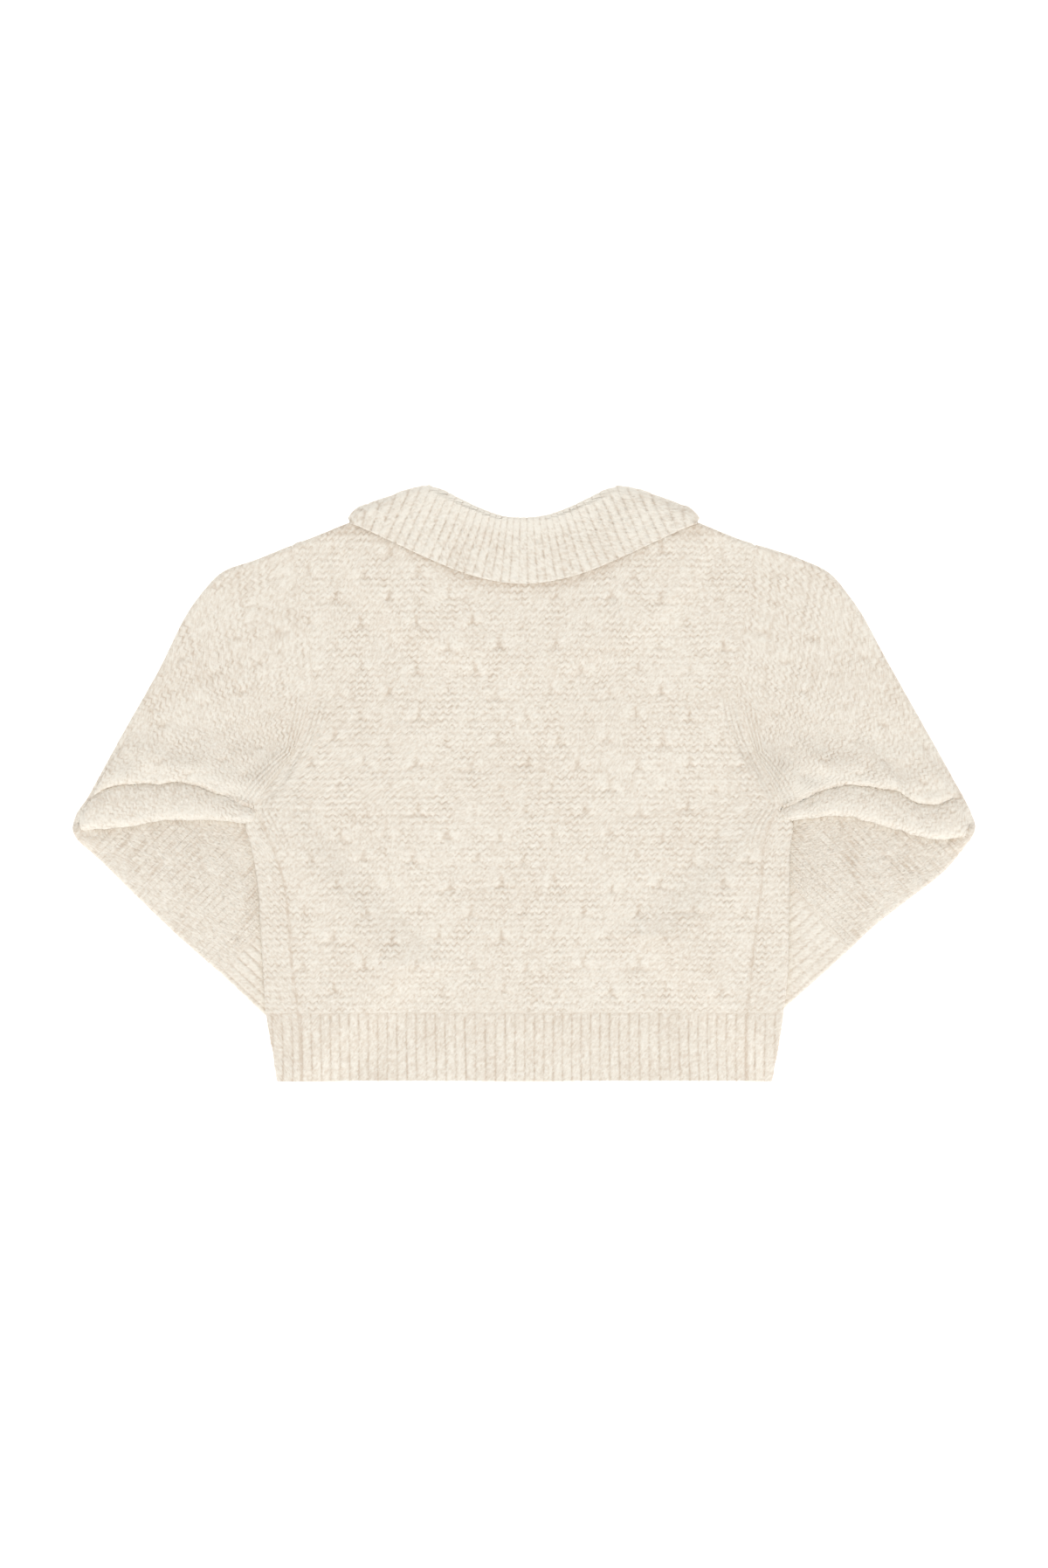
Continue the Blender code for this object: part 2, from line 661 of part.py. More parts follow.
def cuff_point(side, station, u):
    """A cuff: the flattened end of the sleeve, ribbed, with the same rounded outer fold."""
    start = np.array([outer_line(side)[2][-1], TUCKED[side][-1]])
    s = SEAM * 2.5 + station / CUFF_ROWS * (CUFF_LENGTH - SEAM * 2.5)
    ends = start + cuff_run(side) * s[:, None, None]
    low_end, fold_end = 1 + CUFF_COLUMNS, 1 + CUFF_COLUMNS + FOLD_STEPS
    high_end = fold_end + CUFF_COLUMNS
    lower, upper = np.interp(u, [1, low_end], [1, 0]), np.interp(u, [fold_end, high_end], [0, 1])
    t = np.where(u < fold_end, lower, upper)
    plan = ends[:, 0] + (ends[:, 1] - ends[:, 0]) * t[:, None]
    across = ends[:, 1] - ends[:, 0]
    across /= np.linalg.norm(across, axis=1)[:, None]
    turn = np.clip((u - low_end) / FOLD_STEPS, 0, 1) * math.pi
    plan = plan - across * ROUND * np.sin(turn)[:, None]
    z = np.where(u > low_end, FLOOR + ROUND * (1 - np.cos(turn)), FLOOR)
    at_edge = (u < 0.5) | (u > high_end + 0.5)
    plan = plan + across * np.where(at_edge, SEAM_TURN, 0.0)[:, None]
    middle = FLOOR + ROUND + np.where(u < 0.5, -SEAM, SEAM) / 2
    z = np.where(at_edge, middle, z)
    return plan[:, 0], plan[:, 1], z


# Collar: sections from the neck seam over the roll to the free edge, placed round the neck

WRAP_TURNS = 4
ROLL_STEPS = 4
FALL_STEPS = 5
FRONT_START_X = 2.5


def collar_lines(part, sign):
    """Neck seam, roll line and free edge of the collar's front or back half on one side."""
    shrink = 1 - (LIP + SEAM) / NECK_HALF
    if part == "front":
        neck_x = np.append(front_columns()[len(SHOULDER_X) :], FRONT_START_X)
        neck = np.column_stack([neck_x * shrink, front_neck_y(neck_x) + LIP + SEAM])
        f = (neck_x - FRONT_START_X) / (NECK_HALF - FRONT_START_X)
        roll_x = FRONT_START_X + f * (SIDE_ROLL[0].x - FRONT_START_X)
        rise = SIDE_ROLL[0].y - (FRONT_NECK_Y + STAND)
        roll = np.column_stack([roll_x, FRONT_NECK_Y + STAND + rise * (1 - np.sqrt(1 - f * f))])
        free = along(FREE_FRONT, np.linspace(0, 1, len(neck_x)))
    else:
        half = NECK_STEPS // 2
        neck_x = NECK_HALF * np.linspace(1, 0, half + 1)
        neck = np.column_stack([neck_x * shrink, top_y(neck_x) + LIP + SEAM])
        roll = along(ROLL_BACK, np.linspace(0, 1, half + 1))
        free = along(FREE_BACK, np.linspace(0, 1, half + 1))
    return [lines * [sign, 1.0] for lines in (neck, roll, free)]


def collar_section(neck, roll, free, side_bend, angle, sign, inner):
    """One section of the collar, as points with heights. The angle is 0 on the back, pi in front."""
    away = (roll - neck) / np.linalg.norm(roll - neck)
    out_radius = ROUND + 2 * ROLL
    points = []
    outwards = np.array([sign * COLLAR_OUT[0], COLLAR_OUT[1]])

    def place(plan, radius):
        plan = plan + outwards * math.sin(angle) * radius
        middle = FLOOR + under(plan[0], plan[1]) + ROUND
        points.append((plan[0], plan[1], middle + math.cos(angle) * radius))

    place(neck, inner)
    place((neck + roll) / 2, inner)
    middle_radius, half = (inner + out_radius) / 2, (out_radius - inner) / 2
    for step in range(ROLL_STEPS + 1):
        turn = math.pi * step / ROLL_STEPS
        place(roll + away * half * math.sin(turn), middle_radius - half * math.cos(turn))
    for step in range(1, FALL_STEPS + 1):
        f = step / FALL_STEPS
        straight = roll + (free - roll) * f
        bent = along(SIDE_ROLL, [f])[0] * [sign, 1.0]
        place(straight + (bent - straight) * side_bend, out_radius)
    return points


def collar_sections():
    """All of the collar's sections, from its left end round the neck's back to its right end."""

    def half(sign, side):
        sections = []
        neck, roll, free = collar_lines("front", sign)
        last = len(neck) - 1
        for i in range(last, -1, -1):
            over = (WALL + SEAM) * band_bulge(neck[i][0]) if side == "left" else 0.0
            bend = (1 - i / last) ** 2
            inner = ROUND - over
            sections.append(collar_section(neck[i], roll[i], free[i], bend, math.pi, sign, inner))
        for step in range(WRAP_TURNS - 1, 0, -1):
            angle = math.pi * step / WRAP_TURNS
            sections.append(collar_section(neck[0], roll[0], free[0], 1.0, angle, sign, ROUND))
        neck, roll, free = collar_lines("back", sign)
        for i in range(NECK_STEPS // 2 + 1):
            bend = (1 - 2 * i / NECK_STEPS) ** 2
            sections.append(collar_section(neck[i], roll[i], free[i], bend, 0.0, sign, ROUND))
        return sections

    left, right = half(-1.0, "left"), half(1.0, "right")
    return np.array(left + right[-2::-1])


# Meshes


def material(name, colour, roughness):
    made = bpy.data.materials.new(name)
    made.use_nodes = True
    shader = made.node_tree.nodes["Principled BSDF"]
    shader.inputs["Base Color"].default_value = colour
    shader.inputs["Roughness"].default_value = roughness
    shader.inputs["Metallic"].default_value = 0.0
    return made


def sheet(name, steps_u, steps_v, place, colour, roughness=0.95):
    """A panel: a grid of steps_u by steps_v, each point placed by its column and row, with a wall."""
    bm = bmesh.new()
    bmesh.ops.create_grid(bm, x_segments=steps_u, y_segments=steps_v, size=1.0)
    bm.verts.ensure_lookup_table()
    u = np.array([round((vert.co.x + 1) / 2 * steps_u) for vert in bm.verts], float)
    v = np.array([round((vert.co.y + 1) / 2 * steps_v) for vert in bm.verts], float)
    x, y, z = place(u, v)
    points = np.column_stack([x - CENTRE[0], y - CENTRE[1], z])
    for vert, point in zip(bm.verts, points * MM):
        vert.co = point
    mesh = bpy.data.meshes.new(name)
    bm.to_mesh(mesh)
    bm.free()
    mesh.shade_smooth()
    mesh.materials.append(material(name, colour, roughness))
    panel = bpy.data.objects.new(name, mesh)
    bpy.context.collection.objects.link(panel)
    wall = panel.modifiers.new("Knit thickness", "SOLIDIFY")
    wall.thickness = WALL * MM
    wall.offset = 0.0
    return panel


def build_body():
    rows = len(ROW_Y) - 1 + CURL_STEPS
    columns = len(back_columns()) - 1
    across = WRAP_STEPS + FOLD_STEPS + len(front_columns()) - 2
    sheet("back", columns, rows, back_point, KNIT_COLOUR)
    sheet("hem_back", columns, len(HEM_ROWS) - 1, hem_back_point, RIB_COLOUR)
    for side in SIGN:

        def panel(u, v, side=side):
            return front_point(side, ROW_Y, u, v, True)

        def hem(u, v, side=side):
            return front_point(side, HEM_ROWS, u, v, False)

        def band(u, v, side=side):
            return band_point(side, u, v, FRONT_NECK_Y + LIP)

        sheet("front_" + side, across, rows, panel, KNIT_COLOUR)
        sheet("hem_front_" + side, across, len(HEM_ROWS) - 1, hem, RIB_COLOUR)
        sheet("band_" + side, 3, BAND_STEPS, band, RIB_COLOUR)


def build_sleeves():
    round_steps = 2 + 2 * SHEET_STEPS + FOLD_STEPS
    cuff_round = 2 + 2 * CUFF_COLUMNS + FOLD_STEPS
    stations = UPPER_STEPS + len(PLEATS) + FOREARM_STEPS
    for side in SIGN:

        def sleeve(u, v, side=side):
            return sleeve_point(side, v, u).T

        def cuff(u, v, side=side):
            return cuff_point(side, v, u)

        sheet("sleeve_" + side, round_steps, stations, sleeve, KNIT_COLOUR)
        sheet("cuff_" + side, cuff_round, CUFF_ROWS, cuff, RIB_COLOUR)


def build_collar():
    sections = collar_sections()

    def place(u, v):
        return sections[u.astype(int), v.astype(int)].T

    sheet("collar", sections.shape[0] - 1, sections.shape[1] - 1, place, RIB_COLOUR)


def build_buttons():
    """Plain discs with bevelled edges, lying on the table under the left band."""
    for number in range(1, BUTTON_COUNT + 1):
        name = f"button_{number}"
        bm = bmesh.new()
        bmesh.ops.create_circle(bm, cap_ends=True, radius=BUTTON_RADIUS * MM, segments=BUTTON_SIDES)
        face = bm.faces[:]
        up = bmesh.ops.extrude_face_region(bm, geom=face)
        raised = [item for item in up["geom"] if isinstance(item, bmesh.types.BMVert)]
        bmesh.ops.translate(bm, verts=raised, vec=(0, 0, BUTTON_HEIGHT * MM))
        bmesh.ops.recalc_face_normals(bm, faces=bm.faces[:])
        rims = [edge for edge in bm.edges if edge.verts[0].co.z == edge.verts[1].co.z]
        bmesh.ops.bevel(bm, geom=rims, offset=BUTTON_EDGE * MM, segments=1, affect="EDGES")
        mesh = bpy.data.meshes.new(name)
        bm.to_mesh(mesh)
        bm.free()
        mesh.shade_smooth()
        mesh.materials.append(material(name, BUTTON_COLOUR, 0.35))
        button = bpy.data.objects.new(name, mesh)
        y = BUTTON_TOP_Y - (number - 1) * BUTTON_PITCH
        button.location = (-CENTRE[0] * MM, (y - CENTRE[1]) * MM, 0.0)
        bpy.context.collection.objects.link(button)


build_body()
build_sleeves()
build_collar()
build_buttons()
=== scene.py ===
# %% [markdown]
# # A cropped, chunky cardigan laid flat with its back up
#
# The real garment is knitted in panels from a soft, brushed cream yarn and sewn together: a back, two
# fronts that wrap round the side folds, two sleeves, ribbed cuffs, a ribbed hem, a wide ribbed collar,
# two button bands and five buttons. Here it lies on a pale table, closed, back up, with its forearms
# tucked under its sides.
#
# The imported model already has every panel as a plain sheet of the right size. This script gives each one
# its knit. A panel could be carved from the plain sheet by remeshing it, but then the stitches would not
# know which way the knitting runs. So each panel is laid out again as a fine grid, by the same functions
# of the garment's sizes, and the stitches are raised along the grid. The garment's sizes are in
# millimetres; the camera, the lamp and the floor are in metres.

# %% Load the fixed frame
import math
from collections import namedtuple
from functools import partial

import bmesh
import bpy
import numpy as np
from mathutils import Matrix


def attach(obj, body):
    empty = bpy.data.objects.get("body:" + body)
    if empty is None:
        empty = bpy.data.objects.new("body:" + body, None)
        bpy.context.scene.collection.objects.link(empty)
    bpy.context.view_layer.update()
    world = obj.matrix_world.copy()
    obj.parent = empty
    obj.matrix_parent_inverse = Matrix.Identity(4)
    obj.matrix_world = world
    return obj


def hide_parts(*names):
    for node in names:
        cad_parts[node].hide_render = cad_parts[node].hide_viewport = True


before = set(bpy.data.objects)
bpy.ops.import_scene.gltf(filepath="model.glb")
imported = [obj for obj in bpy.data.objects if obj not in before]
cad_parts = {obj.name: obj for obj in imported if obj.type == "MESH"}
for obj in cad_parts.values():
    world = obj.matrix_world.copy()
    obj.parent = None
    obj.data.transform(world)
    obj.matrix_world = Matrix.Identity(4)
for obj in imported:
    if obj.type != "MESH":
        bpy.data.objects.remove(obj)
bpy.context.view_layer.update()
MM = 0.001
print("panels and buttons in the frame:", len(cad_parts))

# %% [markdown]
# ## Camera
#
# The garment was photographed from straight above. The picture is 1200 by 1795 pixels and one metre
# wide on the table, so the lens follows from the camera's height.

# %% Camera
PICTURE_WIDTH = 1.0
PICTURE_SHAPE = 1795 / 1200
CAMERA_HEIGHT = 3.0
SENSOR = 36.0

camera = bpy.data.objects.new("Camera", bpy.data.cameras.new("Camera"))
camera.location = (0.0, 0.0, CAMERA_HEIGHT)
camera.data.sensor_width = SENSOR
camera.data.lens = SENSOR * CAMERA_HEIGHT / (PICTURE_WIDTH * PICTURE_SHAPE)
bpy.context.collection.objects.link(camera)
bpy.context.scene.camera = camera
print("lens in millimetres:", round(camera.data.lens, 1))

# %% [markdown]
# ## Light and floor
#
# The photograph is a cut-out on white, lit almost evenly. A little more light comes from the hem's side,
# which shows in the bright lower edges of the collar and of the folds at the elbows. So a white sky
# does most of the work and one large soft lamp stands beyond the hem. The floor glows slightly,
# because a floor that only reflects would come out grey beside the cream wool.

# %% Light and floor
SKY, SKY_COLOUR = 0.86, (1.0, 0.99, 0.975, 1.0)
KEY_PLACE, KEY_SIZE, KEY_POWER = (0.5, -6.0, 5.0), 4.0, 225.0
FLOOR_SIZE = 14.0
FLOOR_DROP = 0.0003  # a hair below the table's plane, so that cloth lying on it doesn't flicker
FLOOR_GLOW = 0.65
FLOOR_COLOUR, WHITE = (0.82, 0.82, 0.82, 1.0), (1.0, 1.0, 1.0, 1.0)

scene = bpy.context.scene
scene.view_settings.view_transform = "Standard"
scene.world = bpy.data.worlds.new("White studio")
scene.world.use_nodes = True
background = scene.world.node_tree.nodes["Background"]
background.inputs["Color"].default_value = SKY_COLOUR
background.inputs["Strength"].default_value = SKY

key = bpy.data.objects.new("Key", bpy.data.lights.new("Key", "AREA"))
key.data.size = KEY_SIZE
key.data.energy = KEY_POWER
key.location = KEY_PLACE
key.rotation_euler = (math.atan2(-KEY_PLACE[1], KEY_PLACE[2]), 0.0, 0.0)
bpy.context.collection.objects.link(key)

floor_mesh = bmesh.new()
bmesh.ops.create_grid(floor_mesh, x_segments=1, y_segments=1, size=FLOOR_SIZE / 2)
floor = bpy.data.objects.new("Floor", bpy.data.meshes.new("Floor"))
floor_mesh.to_mesh(floor.data)
floor_mesh.free()
floor.location.z = -FLOOR_DROP
bpy.context.collection.objects.link(floor)
floor_paint = bpy.data.materials.new("Floor paint")
floor_paint.use_nodes = True
paint = floor_paint.node_tree.nodes["Principled BSDF"]
paint.inputs["Base Color"].default_value = FLOOR_COLOUR
paint.inputs["Roughness"].default_value = 1.0
paint.inputs["Emission Color"].default_value = WHITE
paint.inputs["Emission Strength"].default_value = FLOOR_GLOW
floor.data.materials.append(floor_paint)
print("a white sky, one lamp", KEY_SIZE, "m wide and a floor", FLOOR_SIZE, "m wide")

# %% [markdown]
# ## Writing materials as sums
#
# A knit's finish is arithmetic: how deep in a groove a point lies, how much lighter its fibres are. Nodes
# could be placed and linked one by one, but a formula is easier to read. So one small class stands for a
# socket. Sums and products of it add Math nodes, and one method adds any other node.

# %% A socket that can be added and multiplied
class Value:
    """A shader socket. Arithmetic on it adds Math nodes."""

    def __init__(self, finish, socket):
        self.finish = finish
        self.socket = socket

    def math(self, operation, *others):
        """Adds a Math node whose first input is this socket."""
        inputs = dict(enumerate((self, *others)))
        return self.finish.node("ShaderNodeMath", {"operation": operation}, inputs)

    def __add__(self, other):
        return self.math("ADD", other)

    def __sub__(self, other):
        return self.math("SUBTRACT", other)

    def __rsub__(self, other):
        return (self * -1.0).math("ADD", other)

    def __mul__(self, other):
        return self.math("MULTIPLY", other)


class Finish:
    """A material with its Principled shader, built up by node()."""

    def __init__(self, name, roughness, **fixed):
        self.material = bpy.data.materials.new(name)
        self.material.use_nodes = True
        self.tree = self.material.node_tree
        self.shader = self.tree.nodes["Principled BSDF"]
        self.shader.inputs["Roughness"].default_value = roughness
        for socket, value in fixed.items():
            self.shader.inputs[socket.replace("_", " ")].default_value = value

    def put(self, socket, value):
        """Links a value to a socket, or sets it there."""
        if isinstance(value, Value):
            self.tree.links.new(value.socket, socket)
        else:
            socket.default_value = value

    def node(self, kind, settings, inputs, output=0):
        """Adds a node: its settings first, then its sockets. Returns one of its outputs."""
        made = self.tree.nodes.new(kind)
        for name, value in settings.items():
            setattr(made, name, value)
        for name, value in inputs.items():
            self.put(made.inputs[name], value)
        return Value(self, made.outputs[output])

    def mixed(self, factor, first, second):
        """A colour between two, by a factor."""
        settings = {"data_type": "RGBA", "clamp_factor": True}
        return self.node("ShaderNodeMix", settings, {0: factor, 6: first, 7: second}, 2)

    def noise(self, place, scale, detail=2.0, roughness=0.5):
        """Noise, its waves 1/scale of a metre long."""
        inputs = {"Vector": place, "Scale": scale, "Detail": detail, "Roughness": roughness}
        return self.node("ShaderNodeTexNoise", {}, inputs)

    def finish(self, colour, bump, depth, strength):
        """Links the colour and a bump, and gives the material."""
        self.put(self.shader.inputs["Base Color"], colour)
        inputs = {"Height": bump, "Distance": depth, "Strength": strength}
        self.put(self.shader.inputs["Normal"], self.node("ShaderNodeBump", {}, inputs))
        return self.material


# %% [markdown]
# ## The yarn
#
# The yarn is a melange: cream and beige-pink fibres spun together, then brushed until it is fuzzy. Crests
# of the knit look pale, grooves look warmer because light bounces between fibres there, so the grooves'
# colour is painted shade. The panels carry an attribute, Crest, that is 1 on a crest and 0 deep in a
# groove, less the painted shade where other cloth, a crease or a seam shades the knit, and plus the
# painted light on the elbows' folds and the collar's roll, and colour follows it. They also carry a UV map,
# Knit, with each stitch's place in the cloth, and the material draws the finest grooves between stitches by
# it. Noise adds fibres, flecks, patches and the slow change of shade from ball to ball. Real hairs would
# cost millions of faces, so the fuzz is a fine bump and the shader's sheen.

# %% Yarn finishes
# The groove colour is painted shade, the warmth of light bouncing between fibres. Painted shadows and painted
# light mix between it and the crest colour.
CREST_COLOUR = (0.90, 0.855, 0.765, 1.0)
GROOVE_COLOUR = (0.66, 0.56, 0.455, 1.0)
FLECK_COLOUR = (0.77, 0.66, 0.55, 1.0)
PALE_COLOUR = (0.94, 0.91, 0.84, 1.0)
FIBRE_SCALE, FLECK_SCALE, PATCH_SCALE, CLOUD_SCALE = 850.0, 230.0, 55.0, 13.0  # waves of noise per metre
FUZZY = (3.0, 0.6)  # detail and roughness of the noise for fibres and flecks
WOOL_ROUGHNESS = 0.93
RIB_PITCH = 9.2  # one rib and its groove
PURL_PITCH, PURL_WAVE, PURL_SWING = 6.1, 6.7, 1.25  # one row of purl, and how its grooves wave
CHAIN_PITCH, CHAIN_SWING = 4.4, 0.35  # one stitch of the chain on a rib, and how its edges wave
PURL_NARROW, RIB_NARROW = 3.0, 6.0  # how narrow the drawn grooves are
PURL_START, PURL_DEPTH = 0.33, 1.6  # grooves of purl come and go with the patches
RIB_DEPTH = 0.6
# What a place's paleness is made of: its crest with the painted shade and light, its fibres, the ball's
# shade and a share for all places
CREST_PART, FIBRE_PART, CLOUD_PART, PALENESS = 0.9, 0.6, 0.08, 0.12
FLECK_START, FLECK_GAIN = 0.54, 2.2
PALE_START, PALE_GAIN = 0.42, 3.0
FLECK_BUMP, GROOVE_BUMP, BUMP_DEPTH, BUMP_STRENGTH = 0.8, 1.2, 0.0011, 0.5


def stitches(run, across, pitch, wave, swing, sharpness):
    """1 in the wavy grooves between rows of stitches, 0 on the rows' crests."""
    line = across + (run * (2 * math.pi / (wave * MM))).math("SINE") * (swing * MM)
    away = ((line * (1 / (pitch * MM))).math("FRACT") - 0.5).math("ABSOLUTE")
    return (away * 2.0).math("POWER", sharpness)


def yarn(name, ribs=False):
    """A brushed melange yarn, with the fine grooves of purl or of ribs."""
    wool = Finish(name, WOOL_ROUGHNESS, Sheen_Weight=0.25, Sheen_Roughness=0.6, Specular_IOR_Level=0.15)
    place = wool.node("ShaderNodeTexCoord", {}, {}, "Object")
    crest = wool.node("ShaderNodeAttribute", {"attribute_name": "Crest_and_painted_light"}, {}, "Fac")
    cloth = wool.node("ShaderNodeUVMap", {"uv_map": "Knit"}, {}, "UV")
    x, y = (wool.node("ShaderNodeSeparateXYZ", {}, {"Vector": cloth}, axis) for axis in "XY")
    fibres = wool.noise(place, FIBRE_SCALE, *FUZZY)
    flecks = wool.noise(place, FLECK_SCALE, *FUZZY)
    clouds = wool.noise(place, CLOUD_SCALE)
    patches = wool.noise(place, PATCH_SCALE)
    if ribs:
        grooves = stitches(y, x, RIB_PITCH, CHAIN_PITCH, CHAIN_SWING, RIB_NARROW) * (flecks * RIB_DEPTH)
    else:
        grooves = stitches(x, y, PURL_PITCH, PURL_WAVE, PURL_SWING, PURL_NARROW)
        grooves = grooves * ((patches - PURL_START) * PURL_DEPTH)
    pale = crest * CREST_PART + (fibres - 0.5) * FIBRE_PART + (clouds - 0.5) * CLOUD_PART
    colour = wool.mixed(pale + PALENESS - grooves, GROOVE_COLOUR, CREST_COLOUR)
    colour = wool.mixed((flecks - FLECK_START) * FLECK_GAIN, colour, FLECK_COLOUR)
    colour = wool.mixed((PALE_START - flecks) * PALE_GAIN, colour, PALE_COLOUR)
    bump = fibres + flecks * FLECK_BUMP - grooves * GROOVE_BUMP
    return wool.finish(colour, bump, BUMP_DEPTH, BUMP_STRENGTH)


patterned_yarn = yarn("Brushed cream yarn, patterned knit")
ribbed_yarn = yarn("Brushed cream yarn, rib", True)
print("finishes:", [patterned_yarn.name, ribbed_yarn.name])

# %% [markdown]
# ## The garment's sizes
#
# The tables below are the laid-out garment: outlines, seams, folds and the collar's lines, read from the
# picture at the size of a real cardigan. The left side is the wearer's left, which is also the viewer's
# left, because the garment lies on its front. The two sides differ a little, as in the picture. What the
# picture doesn't show, such as the neckline in front, has the shape that is usual for such a garment.

# %% Sizes and outlines
CENTRE = (0.377, 0.317)  # middle of the laid-out garment
WALL = 2.6  # thickness of the knit
LIP = 1.0  # how far the panels run past the neckline, up to the collar's seam
LAYER = 5.5  # from the middle of a flattened tube's lower layer to that of its upper one
# How far the body is lifted over a forearm, how far beyond the forearm, and over what run it sinks again
ARM_LIFT, ARM_MARGIN, ARM_FALL = 8.4, 24.0, 50.0
# The same over the collar's front half, which begins to lift the body early
COLLAR_LIFT, COLLAR_EARLY, COLLAR_FALL = 3.8, 8.0, 40.0
COLLAR_OUT = (0.40, 0.917)  # which way the collar leans out where it turns to the front
ROLL, STAND = 1.8, 18.0  # how round the collar's roll is, and how high the collar stands in front
BUTTON_TOP_Y, BUTTON_PITCH, BUTTON_COUNT, BUTTON_HEIGHT = 96.0, 84.0, 5, 2.2
BAND_HALF, BAND_EARLY, BAND_FALL = 15.0, 3.0, 45.0  # half a band, and how the cloth above it sinks beside it
OVER_BAND = 0.9  # how much of the two bands shows as a rise of the back
NECK_HALF, NECK_Y = 102.5, 269.6
BACK_NECK_Y, FRONT_NECK_Y = 232.0, 190.0
NECK_ROUND = 2.2  # how round the back's neck is
TIP_X, TIP_Y = 220.0, 224.0  # where the shoulder meets the sleeve
ARMPIT_Y, RIB_Y, HEM_Y = -20.0, -217.0, -282.5
FLOOR = WALL / 2
ROUND = LAYER / 2
EDGE = ROUND + WALL / 2
TUBE_TOP = FLOOR + LAYER
SIGN = {"left": -1.0, "right": 1.0}

# y, then x of the left edge, left seam, right seam and right edge
SIDES = np.array([
    (-282.5, -234.0, -211.0, 213.0, 236.5), (-244.0, -240.5, -212.0, 211.5, 243.0),
    (-217.0, -245.0, -214.0, 212.5, 247.0), (-177.0, -247.5, -219.5, 216.5, 251.0),
    (-137.0, -250.0, -222.5, 220.5, 252.0), (-97.0, -252.5, -227.0, 225.5, 252.5),
    (-58.0, -259.0, -239.0, 228.0, 253.5), (-38.0, -264.0, -248.0, 234.0, 255.5),
    (-20.0, -257.4, -255.6, 244.7, 246.5)])
SIDE_COLUMN = {"left": (1, 2), "right": (4, 3)}
# y, then x of the left and the right armhole
ARMHOLES = np.array([
    (-20.0, -256.2, 245.3), (5.0, -238.0, 234.0), (28.0, -221.0, 222.0), (55.0, -209.0, 210.5),
    (85.0, -202.0, 204.0), (125.0, -203.0, 206.0), (175.0, -213.0, 213.0), (224.0, -220.0, 220.0)])
ARM_COLUMN = {"left": 1, "right": 2}
UPPER_ARM = {
    "left": [(-221.7, 227.5), (-258.3, 212.9), (-287.0, 202.3), (-310.0, 177.9), (-348.3, 107.9),
             (-386.7, 39.6), (-415.8, -13.8)],
    "right": [(221.7, 228.5), (264.2, 214.6), (290.0, 202.3), (313.3, 175.4), (345.0, 120.4),
              (390.0, 40.0), (417.5, -9.6)]}
ELBOW = {
    "left": [(-415.8, -13.8), (-427.0, -31.0), (-429.2, -43.8), (-424.5, -53.5)],
    "right": [(417.5, -9.6), (425.8, -26.3), (430.0, -42.1), (424.2, -54.5)]}
FOREARM = {
    "left": [(-424.5, -53.5), (-406.7, -69.6), (-365.0, -110.4), (-325.0, -148.5), (-288.3, -180.4)],
    "right": [(424.2, -54.5), (402.5, -81.3), (369.2, -107.9), (335.0, -134.5), (310.0, -157.9)]}
CREASE = {
    "left": [(-415.8, -13.8), (-398.0, -4.0), (-358.0, 0.4), (-318.0, -0.4), (-259.6, -21.5)],
    "right": [(417.5, -9.6), (388.0, -19.5), (352.0, -6.0), (300.0, -2.0), (248.7, -21.5)]}
FOLD = {
    "left": [(-427.0, -44.0), (-386.7, -41.2), (-343.0, -34.8), (-310.0, -33.5), (-265.2, -37.0)],
    "right": [(427.0, -48.0), (396.0, -52.1), (345.0, -40.0), (300.0, -29.5), (256.8, -35.0)]}
TUCKED = {
    "left": [(-265.2, -41.0), (-258.0, -52.0), (-244.0, -80.0), (-226.0, -113.6)],
    "right": [(256.8, -39.0), (253.5, -50.0), (251.5, -70.0), (248.7, -89.6)]}
UNDERARM = {"left": (-253.0, -38.0), "right": (244.0, -38.0)}
CUFF_LENGTH = 88.0
SEAM_TURN = 2.2  # how far the cuff's two layers run on to where they meet at its seam
ROLL_BACK = [(88.0, 277.3), (79.0, 276.0), (66.5, 271.0), (43.5, 260.0), (20.0, 252.0), (8.0, 250.5),
             (0.0, 250.3)]
FREE_BACK = [(164.0, 246.5), (146.0, 243.0), (127.5, 234.0), (104.0, 222.0), (80.0, 210.0),
             (48.0, 197.0), (20.0, 191.4), (0.0, 190.4)]
SIDE_ROLL = [(88.0, 277.3), (105.0, 274.4), (122.4, 268.2), (144.0, 260.5), (157.5, 254.5),
             (164.0, 246.5)]
FREE_FRONT = [(164.0, 246.5), (149.0, 215.0), (118.0, 178.0), (78.0, 152.0), (12.0, 133.0)]
COLLAR_REACH = np.array([(0.0, 133.0), (78.0, 147.0), (125.0, 174.0), (158.0, 212.0), (217.0, 330.0)])
print("the body is", SIDES[0, 4] - SIDES[0, 1], "mm wide at the hem")

# %% Smooth lines through the tables
EDGE_STOPS = np.array([0.35, 0.9])  # extra places beside a rounded edge


def eased(t):
    """0 to 1 with a soft start and a soft stop."""
    t = np.clip(t, 0.0, 1.0)
    return t * t * (3.0 - 2.0 * t)


def blended(knots, values, t):
    """A smooth curve through the values, one for each knot, read at t."""
    knots, values = np.asarray(knots, float), np.asarray(values, float)
    flat = values.ndim == 1
    values = values[:, None] if flat else values
    slopes = np.gradient(values, knots, axis=0)
    t = np.clip(np.atleast_1d(np.asarray(t, float)), knots[0], knots[-1])
    i = np.clip(np.searchsorted(knots, t, side="right") - 1, 0, len(knots) - 2)
    span = (knots[i + 1] - knots[i])[:, None]
    f = (t - knots[i])[:, None] / span
    start = (1 + 2 * f) * (1 - f) ** 2 * values[i] + f * (1 - f) ** 2 * span * slopes[i]
    end = f * f * (3 - 2 * f) * values[i + 1] - f * f * (1 - f) * span * slopes[i + 1]
    return (start + end)[:, 0] if flat else start + end


def along(spots, t):
    """The point at fraction t of a smooth line through the spots."""
    spots = np.array(spots, float)
    steps = np.linalg.norm(np.diff(spots, axis=0), axis=1)
    return blended(np.concatenate([[0.0], np.cumsum(steps)]) / steps.sum(), spots, t)


def line(spots):
    """A curve for patch, through the spots."""
    return lambda t: along(spots, np.ravel(t))


